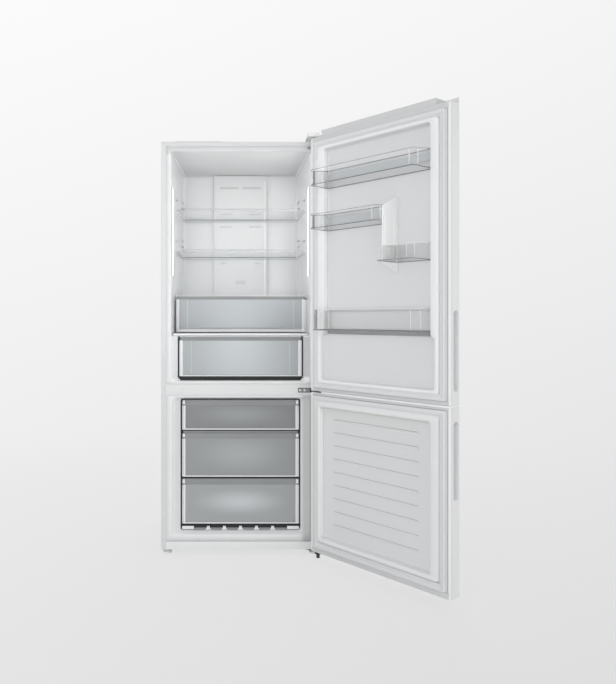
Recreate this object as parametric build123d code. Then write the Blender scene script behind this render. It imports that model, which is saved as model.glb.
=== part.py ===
from build123d import *
import os

# Bottom freezer refrigerator, 700 mm wide and 1850 mm high, with both doors standing open.
# Frame: millimetres, +Z up, -Y towards the user, +X to the right seen from the front.
# The origin is on the floor in the middle of the four feet. Both doors hinge on the right.
# Doors are drawn shut and turned about the hinge line into their rest pose.

# ---------------------------------------------------------------- cabinet
width = 700.0                # across the outside of the side panels
front = -305.0               # plane of the cabinet's front face
back = 300.0                 # rear edge of the side panels
shell_bottom = 25.0
shell_top = 1825.0
sheet = 1.0                  # steel sheet
flange = 21.0                # steel turned in round the front face
side = width / 2

# ---------------------------------------------------------------- fridge space
liner_wall = 2.0
fridge_mouth = 306.0         # half width at the front plane
fridge_draft = 0.036         # half width lost per millimetre of depth
fridge_depth = 500.0
fridge_top = 1781.5
fridge_ledge = 967.0         # ledge that carries the crisper shelf
fridge_bottom = 767.0
ceiling_fall = 8.0           # the ceiling comes down this much towards the back
crisper_bay = 280.0          # half width of the lower bay
bay_bevel = 28.0             # depth of the bevelled mouth round the lower bay
bay_chamfer = 14.0

# ---------------------------------------------------------------- freezer space
freezer_mouth = 299.0
freezer_half = 268.0         # half width behind the bevelled mouth
freezer_bevel = 30.0
freezer_top = 688.0
freezer_fall = 4.0           # its ceiling comes down this much towards the back
freezer_bottom = 98.0
freezer_step = 322.0         # floor height over the machine compartment
freezer_depth = 500.0
freezer_low_depth = 345.0
machine_top = 285.0
machine_front = 85.0
inlet_recess = (286.0, 328.0, 288.0, 308.0, 290.0, 324.0)
foam_inset = 3.0             # the foam's cuts run a little inside each cavity's face

# ---------------------------------------------------------------- front trims
divider_low = 704.0
divider_high = 754.0
kick_top = 60.0
floor_sheet = 58.0           # top of the steel floor that carries the foam
channel_inner = 298.0        # inner face of the channel under each side of that floor
channel_sheet = 2.0

# ---------------------------------------------------------------- feet
foot_x = 326.0
foot_y = 265.0
foot_r = 20.0
foot_pad = 8.0
foot_collar_r = 9.0
foot_collar_top = 14.0
stem_r = 5.0
stem_top = 46.0

# ---------------------------------------------------------------- doors, measured shut
door_gap = 12.0              # cabinet face to the door's inner face
door_thick = 62.0
door_half = 348.5
pivot_x = 337.5
pin_r = 5.0
eye_r = 14.0                 # round end of each hinge arm
arm_right = 3.5              # the arm stays clear of the turning door's corner
pin_clear = 0.06
open_angle = 129.5           # rest pose, counted from shut
hinge_sheet = 4.0            # top and bottom brackets
arm_sheet = 3.0              # middle hinge's arm
bracket_left = 254.0         # left end of the middle hinge's plate on the cross rail
bracket_z = (718.0, 738.0)
screw_r = 2.0
screw_hole_r = 2.3
top_holes = ((305.0, 24.0), (305.0, 54.0), (333.0, 54.0))     # x and depth
middle_holes = ((262.0, 728.0), (282.0, 728.0))               # x and height
bottom_holes = ((302.0, 60.0), (330.0, 72.0))                 # x and depth
cover_reach = 48.0           # hinge cover, from the hinge line to its round end
cover_z = (4.5, 23.0)        # above the cabinet's top
cover_wall = 2.0
fridge_door_z = (732.0, 1848.0)
freezer_door_z = (38.0, 726.0)
recess_depth = 25.0          # the top cap drops this far over the hinge
recess_long = 62.0
lip = 14.0                   # depth of the full height front lip of the door skin
liner_edge = 8.0
door_inner = front - door_gap
door_outer = door_inner - door_thick
pivot_y = door_inner - door_thick / 2

dyke_high = 10.0             # height of the raised frame on a door's inner face
dyke_foot = 45.0             # where it rises, measured in from either edge
dyke_crest = (47.0, 80.0)
dyke_narrow = 63.0           # its inner side below the lowest bin
well_deep = 20.0             # the panel inside the frame lies this far below the door's inner face
well_slope = 3.0
# Heights on each liner: frame foot, frame crest, well at the crest and at its floor.
# hinge: where the freezer door's well begins on that side, measured in from the edge.
fridge_liner_spec = {
    "base": (769.0, 1778.0), "crest": (771.0, 1774.0), "well": (782.0, 1764.0), "floor": (788.0, 1758.0),
    "wide": 978.0, "ribs": (), "gasket": (748.0, 1800.0), "tall_cap": True,
}
freezer_liner_spec = {
    "base": (89.0, 694.0), "crest": (91.0, 676.0), "well": (108.0, 668.0), "floor": (113.0, 658.0),
    "hinge": 57.0, "ribs": tuple(169 + 55.5 * i for i in range(9)), "gasket": (62.0, 713.0),
    "tall_cap": False,
}
liner_rib = (112.0, 548.0, 9.0, 3.0)     # from, to, height and rise of each rib on the freezer door's well
gasket_in, gasket_out = 312.0, 328.0
gasket_high = 11.4

skin_corner = 12.0
grip_n = (17.0, 49.0)        # pocket across the door's free edge
grip_deep = 22.0
fridge_grip_z = (782.0, 1074.0)
freezer_grip_z = (390.0, 673.0)

# ---------------------------------------------------------------- what stands inside
shelf_heights = (1544.0, 1354.0)
shelf_front = 157.0          # depths are measured back from the cabinet's front plane
shelf_back = 478.0
glass = 4.0
crisper_shelf_front = 25.0
duct_half = 137.0
duct_front = 480.0
duct_slots = ((56.0, 95.0, 1707.0, 10.0), (74.0, 60.0, 1573.0, 7.0), (74.0, 60.0, 1509.0, 7.0),
              (89.0, 30.0, 1323.0, 7.0))      # x, length, height, width
sensor_z = 1226.0
lamp_depth = (18.0, 78.0)
lamp_z = (1234.0, 1638.0)
lamp_thick = 3.0
rib_reach = 9.0

# name: half width in front, half width behind, front depth, rear depth, bottom, top
drawers = {
    "chiller_drawer": (293.0, 284.0, 100.0, 466.0, 980.0, 1148.0),
    "crisper_drawer": (273.0, 268.0, 35.0, 440.0, 783.0, 965.0),
    "freezer_drawer_top": (262.0, 256.0, 50.0, 418.0, 542.0, 680.0),
    "freezer_drawer_middle": (262.0, 256.0, 50.0, 418.0, 334.0, 530.0),
    "freezer_drawer_bottom": (262.0, 256.0, 50.0, 330.0, 123.0, 326.0),
}
drawer_wall = 2.5
drawer_face = 4.0
drawer_rim = 22.0            # the tub's rim below the front's top
freezer_shelf_z = (536.0, 328.5)
freezer_shelf_d = (58.0, 422.0)
grille_d = (40.0, 48.0)
grille_z = (98.6, 120.0)
grille_slots = (6, 60.0, 72.0)               # how many, how long, spacing

# ---------------------------------------------------------------- cooler behind the freezer
cooler_half = 252.0
cooler_cover_z = (345.0, 680.0)
cooler_cover_d = 428.0
fan_z = 606.0
fan_r = 52.0
fan_d = 470.0                # front of the motor
fin_z = (360.0, 530.0)
fin_half = 210
fin_pitch = 20
cooler_tubes_z = (385.0, 425.0, 465.0, 505.0)
cooler_tubes_d = (455.0, 479.0)
heater_z = (336.0, 354.0)

# ---------------------------------------------------------------- machine compartment
compressor_at = (-175.0, 185.0)
compressor_half = (92.0, 66.0)
compressor_high = 138.0
compressor_lift = 22.0       # shell above the steel floor
bush_from_middle = (92.0, 43.0)
tray_z = (218.0, 248.0)
coil_passes = 9
coil_pitch = 18.0
coil_x = (10.0, 280.0)
coil_lift = 24.0
drier_z = 190.0
drier_x = (185.0, 275.0)
control_box = (130.0, 1600.0, 1770.0)        # half width, bottom, top
inlet_x = (288.0, 326.0)
inlet_z = (292.0, 322.0)

# name: along-door span, depth from the inner face, bottom, front rim, corner radius
bins = {
    "top_door_bin": ((84.0, 613.0), 100.0, 1595.0, 1660.0, 22.0),
    "left_door_bin": ((84.0, 443.5), 102.0, 1415.0, 1475.0, 22.0),
    "right_door_bin": ((448.5, 613.0), 118.0, 1260.0, 1318.0, 20.0),
    "bottle_door_bin": ((84.0, 613.0), 88.0, 996.0, 1082.0, 25.0),
}
bin_wall = 2.5
bin_back_rise = 12.0
divider_plate_a = (444.5, 447.5)
divider_plate_z = (1216.0, 1521.0)

parts = {}


# ---------------------------------------------------------------- helpers
def block(x0, x1, y0, y1, z0, z1):
    """A box between two corners."""
    return Pos((x0 + x1) / 2, (y0 + y1) / 2, (z0 + z1) / 2) * Box(x1 - x0, y1 - y0, z1 - z0)


def rod(r, z0, z1, x=0.0, y=0.0):
    """An upright cylinder."""
    return Pos(x, y, (z0 + z1) / 2) * Cylinder(r, z1 - z0)


def rod_y(r, y0, y1, x, z):
    """A cylinder along Y."""
    return Pos(x, (y0 + y1) / 2, z) * Rot(90, 0, 0) * Cylinder(r, y1 - y0)


def plan(points, z0, z1):
    """A prism on a plan outline."""
    face = make_face(Polyline(*points, close=True))
    return Pos(0, 0, z0) * extrude(face, z1 - z0)


def bent_sheet(points, radius, z0, z1, thick=sheet):
    """Sheet metal bent to a plan line, the metal on the line's left, from z0 to z1."""
    line = FilletPolyline(*points, radius=radius)
    outline = Wire(line.edges()).offset_2d(thick, side=Side.LEFT)
    return Pos(0, 0, z0) * extrude(make_face(outline.edges()), z1 - z0)


def upright(depth, half, z0, z1, r, chamfered=0.0, square_below=False):
    """A section of a cavity or tub, standing across the cabinet at a depth."""
    plane = Plane(origin=(0, front + depth, (z0 + z1) / 2), x_dir=(1, 0, 0), z_dir=(0, -1, 0))
    if chamfered:
        h, c = (z1 - z0) / 2, chamfered
        outline = Polyline((-half, h), (-half, c - h), (c - half, -h), (half - c, -h),
                           (half, c - h), (half, h), close=True)
        return plane * make_face(outline)
    if square_below:
        section = Rectangle(2 * half, z1 - z0)
        return plane * fillet(section.vertices().group_by(Axis.Y)[-1], r)
    return plane * RectangleRounded(2 * half, z1 - z0, r)


def tube(points, r, bends):
    """A round tube along straight runs joined by arcs."""
    path = FilletPolyline(*points, radius=bends)
    start = path ^ 0
    return sweep(Plane(origin=start.position, z_dir=start.z_axis.direction) * Circle(r), path=path)


def joined(shapes):
    """One solid from several that touch."""
    total = shapes[0]
    for shape in shapes[1:]:
        total = total + shape
    return total


def group(shapes):
    """Separate solids kept in one node."""
    solids = []
    for shape in shapes:
        solids.extend(shape.solids())
    return Compound(children=solids)


def at_rest(shape):
    """Turns a piece drawn on a shut door into the rest pose about the hinge line."""
    hinge = Pos(pivot_x, pivot_y, 0)
    return hinge * Rot(0, 0, open_angle) * hinge.inverse() * shape


def fridge_half(depth):
    """Half width of the fridge space above the ledge."""
    return fridge_mouth - fridge_draft * depth


# ---------------------------------------------------------------- cavities
def fridge_space(grow):
    """The fridge cavity: a drafted room above the ledge and a narrower bay below it."""
    deep = fridge_depth + grow
    room = loft([
        upright(0, fridge_mouth + grow, fridge_ledge - grow, fridge_top + grow, 16, square_below=True),
        upright(deep, fridge_half(deep) + grow, fridge_ledge - grow, fridge_top - ceiling_fall + grow, 16,
                square_below=True),
    ])
    low, high = fridge_bottom - grow, fridge_ledge + 20
    cut = bay_chamfer
    mouth = loft([
        upright(0, fridge_mouth - 2 + grow, low - 1, high, 0, cut),
        upright(bay_bevel, crisper_bay + grow, low + 1, high, 0, cut),
    ], ruled=True)
    bay = loft([
        upright(bay_bevel, crisper_bay + grow, low + 1, high, 0, cut),
        upright(deep, crisper_bay - 5 + grow, low + 6, high, 0, cut),
    ], ruled=True)
    return room + mouth + bay


def freezer_space(grow):
    """The freezer cavity: bevelled mouth, full depth above the step and shallow below it."""
    r = 12
    mouth = loft([
        upright(0, freezer_mouth + grow, freezer_bottom - 8 - grow, freezer_top + 9 + grow, r + 8),
        upright(freezer_bevel, freezer_half + grow, freezer_bottom - grow, freezer_top + grow, r),
    ])
    low = loft([
        upright(freezer_bevel, freezer_half + grow, freezer_bottom - grow, freezer_top + grow, r),
        upright(freezer_low_depth + grow, freezer_half - 4 + grow, freezer_bottom + 2 - grow,
                freezer_top - 3 + grow, r),
    ])
    high = loft([
        upright(freezer_low_depth - 20, freezer_half - 4 + grow, freezer_step - grow,
                freezer_top - 3 + grow, r),
        upright(freezer_depth + grow, freezer_half - 6 + grow, freezer_step - grow,
                freezer_top - freezer_fall + grow, r),
    ])
    return mouth + low + high


# ---------------------------------------------------------------- cabinet
def make_shell():
    """Side panels with turned-in front flanges, a top panel and the rear sheet."""
    for name, s in (("side_panel_left", -1), ("side_panel_right", 1)):
        line = [(s * (side - flange), front), (s * side, front), (s * side, back),
                (s * (side - 14), back)]
        if s < 0:
            line.reverse()
        parts[name] = bent_sheet(line, 3, shell_bottom, shell_top)
    inner = side - flange
    plate = block(-side + sheet, side - sheet, front + sheet, back - sheet,
                  shell_top - sheet, shell_top)
    lip_front = block(-inner, inner, front, front + sheet, shell_top - flange, shell_top)
    parts["top_panel"] = plate + lip_front
    rear = block(-side + 3, side - 3, back, back + sheet, machine_top - 3, shell_top - 2)
    ribs = [
        block(x - 4, x + 4, back + sheet, back + sheet + 2, machine_top + 60, shell_top - 260)
        for x in (-260, -130, 0, 130, 260)
    ]
    parts["rear_panel"] = joined([rear] + ribs)


def make_base():
    """Steel floor with a channel down each side that the feet screw into."""
    x, y0, y1 = side - 2, front + 3, back - 3
    pieces = [block(-x, x, y0, y1, floor_sheet - channel_sheet, floor_sheet)]
    for s in (-1, 1):
        inner, outer = sorted((s * channel_inner, s * x))
        pieces.append(block(inner, outer, y0, y1, shell_bottom, shell_bottom + 3))
        web = sorted((s * channel_inner, s * (channel_inner + channel_sheet)))
        pieces.append(block(*web, y0, y1, shell_bottom, floor_sheet))
    base = joined(pieces)
    for x in (-foot_x, foot_x):
        for y in (-foot_y, foot_y):
            base = base - rod(stem_r + pin_clear, shell_bottom - 1, shell_bottom + 4, x, y)
    parts["base_plate"] = base


def make_insulation(fridge_out, freezer_out):
    """Foam between shell and liners, cut into plain walls along the edges of the cavities."""
    x, y0, y1 = side - sheet, front + liner_wall, back - 1
    foam = block(-x, x, y0, y1, floor_sheet, shell_top - sheet)
    foam = fillet(foam.edges().filter_by(Axis.Z), 3)
    foam = foam - fridge_out - freezer_out - block(*inlet_recess)
    foam = foam - block(-x - 1, x + 1, machine_front, y1 + 1, floor_sheet - 1, machine_top)
    inset = foam_inset
    ceiling = fridge_top - ceiling_fall - inset
    divide = fridge_bottom + 4 + inset
    roof = freezer_top - freezer_fall
    rear = front + fridge_depth - inset
    low_rear = front + freezer_low_depth - inset
    bottom = freezer_bottom + inset
    step = freezer_step + inset
    walls = [
        (-x, x, y0, y1, ceiling, shell_top),
        (-x, x, rear, y1, divide, ceiling),
        (-x, x, y0, y1, roof, divide),
        (-x, x, rear, y1, step, roof),
        (-x, x, low_rear, y1, machine_top, step),
        (-x, x, low_rear, machine_front, bottom, machine_top),
        (-x, x, y0, machine_front, 0, bottom),
    ]
    ledge = fridge_ledge + inset
    for s in (-1, 1):
        x0, x1 = sorted((0, s * x))
        for deep, z0, z1 in ((rear, ledge, ceiling), (rear, divide, ledge), (rear, step, roof),
                             (low_rear, bottom, step)):
            walls.append((x0, x1, y0, deep, z0, z1))
    parts["cabinet_insulation"] = group([foam & block(*wall) for wall in walls])


def shelf_rib(s, z):
    """A moulded rib on a side wall of the fridge space, just under a shelf."""
    d0, d1 = shelf_front + 14, shelf_back
    outline = [(s * (fridge_half(d0) + 0.5), front + d0), (s * (fridge_half(d0) - rib_reach), front + d0),
               (s * (fridge_half(d1) - rib_reach), front + d1), (s * (fridge_half(d1) + 0.5), front + d1)]
    return plan(outline, z - 7, z - 0.2)


def make_liners():
    """Formed plastic liners of both cavities with their front flanges."""
    fridge_in, fridge_out = fridge_space(0), fridge_space(liner_wall)
    freezer_in, freezer_out = freezer_space(0), freezer_space(liner_wall)
    edge = side - flange
    face = (front, front + liner_wall)
    flange_high = block(-edge, edge, *face, divider_high, shell_top - flange)
    flange_low = block(-edge, edge, *face, kick_top, divider_low)
    keep_front = block(-side, side, front - 50, front, 0, 2000)
    shell = (fridge_out + flange_high) - fridge_in - keep_front
    ribs = [shelf_rib(s, z) for z in shelf_heights for s in (-1, 1)]
    parts["fridge_liner"] = joined([shell] + ribs)
    parts["freezer_liner"] = (freezer_out + flange_low) - freezer_in - keep_front
    make_insulation(fridge_out, freezer_out)


def make_front_trims():
    """The cross rail between the two spaces and the kick rail under the freezer."""
    edge = side - flange
    parts["divider_trim"] = block(-edge, edge, front, front + liner_wall, divider_low, divider_high)
    rail = block(-edge, edge, front, front + liner_wall, shell_bottom, kick_top)
    parts["kick_rail"] = rail


def make_feet():
    """Two turning feet in front and two fixed ones behind, all with the same round pad."""
    def foot(x, y):
        knurl = rod(foot_r, 0, foot_pad, x, y)
        collar = rod(foot_collar_r, foot_pad, foot_collar_top, x, y)
        return knurl + collar + rod(stem_r, foot_collar_top, stem_top, x, y)

    parts["levelling_foot_left"] = foot(-foot_x, -foot_y)
    parts["levelling_foot_right"] = foot(foot_x, -foot_y)
    parts["rear_feet"] = group([foot(-foot_x, foot_y), foot(foot_x, foot_y)])


# ---------------------------------------------------------------- hinges
def screw(x, y, z, turn=(0, 0, 0)):
    """A pan head screw whose head stands on a face at the given point, shank inwards."""
    head = Pos(0, 0, 1.25) * Cylinder(4.5, 2.5)
    slot = Pos(0, 0, 2.1) * Box(1.2, 6, 1)
    shank = Pos(0, 0, -1.4) * Cylinder(screw_r, 2.8)
    return Pos(x, y, z) * Rot(*turn) * (head + shank - slot)


def hinge_arm(z0, z1, root_y):
    """A flat arm from the cabinet to a round end about the hinge line."""
    arm = block(pivot_x - eye_r, pivot_x + arm_right, pivot_y, root_y, z0, z1)
    return arm + rod(eye_r, z0, z1, pivot_x, pivot_y)


def make_hinges():
    """Top, middle and bottom hinge brackets with their pins, screws and cover."""
    plate_right = 346
    over = shell_top + hinge_sheet
    top = hinge_arm(shell_top, over, front + 20)
    top = top + block(290, plate_right, front + 8, front + 70, shell_top, over)
    top = top + rod(pin_r, shell_top - 13, shell_top + 2, pivot_x, pivot_y)
    for x, d in top_holes:
        top = top - rod(screw_hole_r, shell_top - 1, over + 1, x, front + d)
    parts["top_hinge_bracket"] = top

    low = freezer_door_z[1] + 1.5
    face = front - hinge_sheet
    middle = hinge_arm(low, low + arm_sheet, front)
    middle = middle + block(bracket_left, pivot_x + arm_right, face, front, *bracket_z)
    middle = middle + rod(pin_r, low - 13, low + 16, pivot_x, pivot_y)
    for x, z in middle_holes:
        middle = middle - rod_y(screw_hole_r, face - 1, front + 1, x, z)
    parts["middle_hinge_bracket"] = middle

    under = shell_bottom - hinge_sheet
    bottom = hinge_arm(under, shell_bottom, front + 20)
    bottom = bottom + block(292, plate_right, front + 6, front + 84, under, shell_bottom)
    bottom = bottom + rod(pin_r, under + 2, shell_bottom + 27, pivot_x, pivot_y)
    bottom = bottom + rod(7.5, 4, under, pivot_x, pivot_y)
    bottom = bottom - rod(stem_r + pin_clear, under - 1, shell_bottom + 1, foot_x, -foot_y)
    for x, d in bottom_holes:
        bottom = bottom - rod(screw_hole_r, under - 1, shell_bottom + 1, x, front + d)
    parts["bottom_hinge_bracket"] = bottom

    screws = [screw(x, front + d, over) for x, d in top_holes]
    screws += [screw(x, face, z, (90, 0, 0)) for x, z in middle_holes]
    screws += [screw(x, front + d, under, (180, 0, 0)) for x, d in bottom_holes]
    parts["hinge_screws"] = group(screws)

    cover_low, cover_high = shell_top + cover_z[0], shell_top + cover_z[1]

    def cover_block(shrink, z1):
        right, left = pivot_x + arm_right - shrink, pivot_x - cover_reach + shrink
        body = block(left, right, pivot_y, front + 78 - shrink, cover_low, z1)
        nose = rod(cover_reach - shrink, cover_low, z1, pivot_x, pivot_y)
        return body + (nose & block(left, right, pivot_y - 23 + shrink, pivot_y, cover_low, z1))

    parts["top_hinge_cover"] = cover_block(0, cover_high) - cover_block(cover_wall, cover_high - cover_wall)

    caps = [block(-296, -254, front - 2, front, *bracket_z)]
    caps += [rod(6, shell_top, shell_top + 2.5, -x, front + d) for x, d in top_holes[:2]]
    parts["blanking_caps"] = group(caps)


# ---------------------------------------------------------------- fridge interior
def make_shelves():
    """Glass shelves on the liner's ribs, the crisper shelf on its ledge, and their trims."""
    trims = []

    def pane(z, d0, d1, inset):
        outline = [(-fridge_half(d0) + inset, front + d0), (fridge_half(d0) - inset, front + d0),
                   (fridge_half(d1) - inset, front + d1), (-fridge_half(d1) + inset, front + d1)]
        return plan(outline, z, z + glass)

    def edge(z0, z1, d0, d1, inset):
        x = fridge_half(d1) - inset
        return block(-x, x, front + d0, front + d1, z0, z1)

    panes = []
    for z in shelf_heights:
        panes.append(pane(z, shelf_front + 6, shelf_back - 6, 4))
        trims.append(edge(z - 3, z + 9, shelf_front, shelf_front + 5.9, 3))
        trims.append(edge(z, z + 16, shelf_back - 5.9, shelf_back, 4))
    parts["glass_shelves"] = group(panes)
    top = fridge_ledge + 11
    parts["crisper_glass_shelf"] = pane(top - glass, crisper_shelf_front + 8, shelf_back - 6, 3)
    trims.append(edge(fridge_ledge, top, crisper_shelf_front, crisper_shelf_front + 7.9, 1))
    parts["shelf_trims"] = group(trims)


def make_light_strips():
    """Long lamps let into both side walls near the front."""
    d0, d1 = lamp_depth
    strips = []
    for s in (-1, 1):
        outline = [(s * (fridge_half(d0) - 0.1), front + d0), (s * (fridge_half(d1) - 0.1), front + d1),
                   (s * (fridge_half(d1) - lamp_thick), front + d1 - 3),
                   (s * (fridge_half(d0) - lamp_thick), front + d0 + 3)]
        strips.append(plan(outline, *lamp_z))
    parts["light_strips"] = group(strips)


def make_air_duct():
    """Cover of the cold air duct up the back of the fridge space, with its outlet slots."""
    z0, z1 = fridge_ledge + 14, fridge_top - 12
    y0, y1 = front + duct_front, front + fridge_depth - 0.5
    wall = 2.5
    cover = block(-duct_half, duct_half, y0, y1, z0, z1)
    cover = cover - block(-duct_half + wall, duct_half - wall, y0 + wall, y1 + 1, z0 + wall, z1 - wall)
    for x, long, z, high in duct_slots:
        for s in (-1, 1):
            cut = Pos(s * x, y0, z) * Rot(90, 0, 0) * extrude(SlotOverall(long, high), 10, both=True)
            cover = cover - cut
    for row in range(4):
        z = sensor_z + (row - 1.5) * 6
        cover = cover - block(-20, 20, y0 - 1, y0 + wall + 1, z - 1.5, z + 1.5)
    parts["air_duct_cover"] = cover


# ---------------------------------------------------------------- drawers
def make_drawers():
    """Drafted open tubs, each with a taller front and a rolled rim."""
    wall = drawer_wall
    for name, (half0, half1, d0, d1, z0, z1) in drawers.items():
        rim = z1 - drawer_rim
        outer = loft([upright(d0, half0, z0, rim, 10), upright(d1, half1, z0 + 3, rim, 10)])
        inner = loft([upright(d0 + drawer_face, half0 - wall, z0 + wall, rim + 20, 8),
                      upright(d1 - wall, half1 - wall, z0 + wall + 3, rim + 20, 8)])
        face = block(-half0, half0, front + d0, front + d0 + drawer_face, z0, z1)
        parts[name] = (outer + face) - inner


def make_freezer_inside():
    """Glass shelves and the air grille in front of the lowest drawer."""
    d0, d1 = freezer_shelf_d
    half = freezer_half - 7
    panes = [block(-half, half, front + d0, front + d1, z, z + glass) for z in freezer_shelf_z]
    parts["freezer_shelves"] = group(panes)

    d0, d1 = grille_d
    grille = block(-freezer_half + 4, freezer_half - 4, front + d0, front + d1, *grille_z)
    grille = fillet(grille.edges().filter_by(Axis.Y).group_by(Axis.Z)[0], 12)
    count, slot, pitch = grille_slots
    for i in range(count):
        x = (i - (count - 1) / 2) * pitch
        cut = block(x - slot / 2, x + slot / 2, front + d0 - 1, front + d1 + 1, grille_z[0] + 4.4,
                    grille_z[1] - 5)
        grille = grille - cut
    parts["freezer_air_grille"] = grille


def make_cooler_cover():
    """The cover over the evaporator, with a barred fan hole and two air slots above it."""
    y = front + cooler_cover_d
    wall = 3
    cover = block(-cooler_half, cooler_half, y, y + wall, *cooler_cover_z)
    cover = cover - rod_y(fan_r, y - 1, y + wall + 1, 0, fan_z)
    long = fan_r + 2
    bars = [block(-long, long, y, y + wall, fan_z + rise - 1.5, fan_z + rise + 1.5)
            for rise in (-36, -18, 0, 18, 36)]
    cover = joined([cover] + bars)
    for s in (-1, 1):
        cover = cover - block(s * 190 - 40, s * 190 + 40, y - 1, y + wall + 1, 640, 652)
    parts["evaporator_cover"] = cover


def make_cooler():
    """Evaporator fins on their tubes, and the heater bent round under them."""
    low, high = fin_z
    fins = [block(x - 0.5, x + 0.5, front + 440, front + 494, low, high)
            for x in range(-fin_half, fin_half + 1, fin_pitch)]
    tubes = [Pos(0, front + d, z) * Rot(0, 90, 0) * Cylinder(4, 2 * fin_half + 20)
             for z in cooler_tubes_z for d in cooler_tubes_d]
    parts["evaporator"] = joined([joined(tubes[:1] + fins)] + tubes[1:])

    y, x = front + 467, fin_half - 5
    bottom, end = heater_z
    parts["defrost_heater"] = tube([(-x, y, end), (-x, y, bottom), (x, y, bottom), (x, y, end)], 4, 8)


def make_fan():
    """Fan motor on a cross of struts and the five-bladed rotor in front of it."""
    y = front + fan_d
    motor = rod_y(28, y, y + 22, 0, fan_z)
    motor = motor + rod_y(2, y - 24, y + 1, 0, fan_z)
    struts = [block(-70, 70, y + 14, y + 18, fan_z - 5, fan_z + 5),
              block(-5, 5, y + 14, y + 18, fan_z - 66, fan_z + 66)]
    parts["fan_motor"] = joined([motor] + struts)

    hub = rod_y(14, y - 22, y - 6, 0, fan_z) - rod_y(2.05, y - 30, y, 0, fan_z)
    count, tilt = 5, 32
    blades = []
    for i in range(count):
        blade = Box(34, 2, 26)
        blade = fillet(blade.edges().filter_by(Axis.Y).sort_by(Axis.X)[-2:], 8)
        blade = Pos(29, 0, 0) * Rot(tilt, 0, 0) * blade
        blades.append(Pos(0, y - 14, fan_z) * Rot(0, 360 / count * i, 0) * blade)
    parts["fan_blade"] = joined([hub] + blades)


# ---------------------------------------------------------------- machine compartment
def make_compressor():
    """A domed shell with a welded seam on a foot plate, standing on four rubber bushes."""
    cx, cy = compressor_at
    rx, ry = compressor_half
    z0 = floor_sheet
    can = Pos(cx, cy, z0 + compressor_lift) * extrude(Ellipse(rx, ry), compressor_high)
    can = fillet(can.edges().group_by(Axis.Z)[-1], 46)
    can = fillet(can.edges().group_by(Axis.Z)[0], 16)
    seam = Pos(cx, cy, z0 + 84) * extrude(Ellipse(rx + 3, ry + 3), 5)
    plate_low, plate_high = z0 + 14, z0 + 17
    feet = block(cx - 105, cx + 105, cy - 55, cy + 55, plate_low, plate_high)
    post = block(cx - 50, cx + 50, cy - 30, cy + 30, plate_high - 1, z0 + 40)
    relay = block(cx + 84, cx + 118, cy - 22, cy + 22, z0 + 60, z0 + 120)
    port = block(cx + 60, cx + 100, cy - 46, cy - 30, 150, 166)
    body = joined([can, seam, post, feet, relay, port])
    dx, dy = bush_from_middle
    bushes = []
    for x, y in [(cx + sx * dx, cy + sy * dy) for sx in (-1, 1) for sy in (-1, 1)]:
        body = body - rod(5, plate_low - 4, plate_high + 3, x, y)
        bushes.append(rod(12, z0, plate_low, x, y) + rod(4.9, plate_low - 1, plate_high + 5, x, y))
    parts["compressor"] = body
    parts["compressor_grommets"] = group(bushes)

    low, high = tray_z
    wall = 3
    tray = block(cx - 95, cx + 95, cy - 70, cy + 85, low, high)
    tray = fillet(tray.edges().filter_by(Axis.Z), 18)
    hollow = block(cx - 95 + wall, cx + 95 - wall, cy - 70 + wall, cy + 85 - wall, low + wall, high + 12)
    parts["drip_tray"] = tray - fillet(hollow.edges().filter_by(Axis.Z), 18 - wall)


def make_condenser():
    """The condenser coil on its straps, and the pipes between it, the compressor and the drier."""
    cx, cy = compressor_at
    x0, x1 = coil_x
    coil_y, coil_z = cy + 40, floor_sheet + coil_lift
    line = []
    for i in range(coil_passes):
        z = coil_z + i * coil_pitch
        start, end = (x0, x1) if i % 2 == 0 else (x1, x0)
        line += [(start, coil_y, z), (end, coil_y, z)]
    coil = tube(line, 3, coil_pitch / 2 - 0.01)
    straps = [block(x - 2, x + 2, coil_y - 6, coil_y + 6, floor_sheet, coil_z + coil_passes * coil_pitch)
              for x in (50, 145, 240)]
    parts["condenser"] = joined([coil] + straps)

    port_y, port_z, over = cy - 38, 158, 262
    suction = tube([(cx + 100, port_y, port_z), (cx + 130, port_y, port_z), (cx + 130, port_y, over),
                    (cx + 240, port_y, over), (cx + 240, port_y, machine_top)], 4, 10)
    outlet_z = floor_sheet + 90
    discharge = tube([(cx + 118, cy + 10, outlet_z), (cx + 135, cy + 10, outlet_z),
                      (cx + 135, coil_y, outlet_z), (cx + 135, coil_y, coil_z), (x0, coil_y, coil_z)], 3, 8)
    coil_top = coil_z + (coil_passes - 1) * coil_pitch
    drier_y = cy - 30
    near, far = drier_x
    drier = Pos((near + far) / 2, drier_y, drier_z) * Rot(0, 90, 0) * Cylinder(10, far - near)
    drier = fillet(drier.edges(), 5)
    liquid = tube([(x1, coil_y, coil_top), (x1 + 18, coil_y, coil_top), (x1 + 18, drier_y, coil_top),
                   (x1 + 18, drier_y, drier_z), (far, drier_y, drier_z)], 3, 8)
    capillary = tube([(near, drier_y, drier_z), (near - 25, drier_y, drier_z),
                      (near - 25, drier_y, machine_top)], 2, 10)
    parts["refrigerant_pipes"] = group([suction, discharge, drier, liquid, capillary])


def make_rear_fittings():
    """The control box cover on the rear sheet and the mains inlet in its recess."""
    half, low, high = control_box
    box_cover = block(-half, half, back + sheet, back + sheet + 5, low, high)
    parts["control_box_cover"] = fillet(box_cover.edges().filter_by(Axis.Y), 8)
    inlet = block(*inlet_x, back - 8, back + 6, *inlet_z)
    socket = block(inlet_x[0] + 7, inlet_x[1] - 7, back - 4, back + 7, inlet_z[0] + 6, inlet_z[1] - 6)
    pins = [block(x - 1, x + 1, back - 5, back + 3, 304, 311) for x in (300, 307, 314)]
    parts["power_inlet"] = joined([inlet - socket] + pins)
    parts["rear_panel"] = parts["rear_panel"] - block(*inlet_recess)


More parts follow.
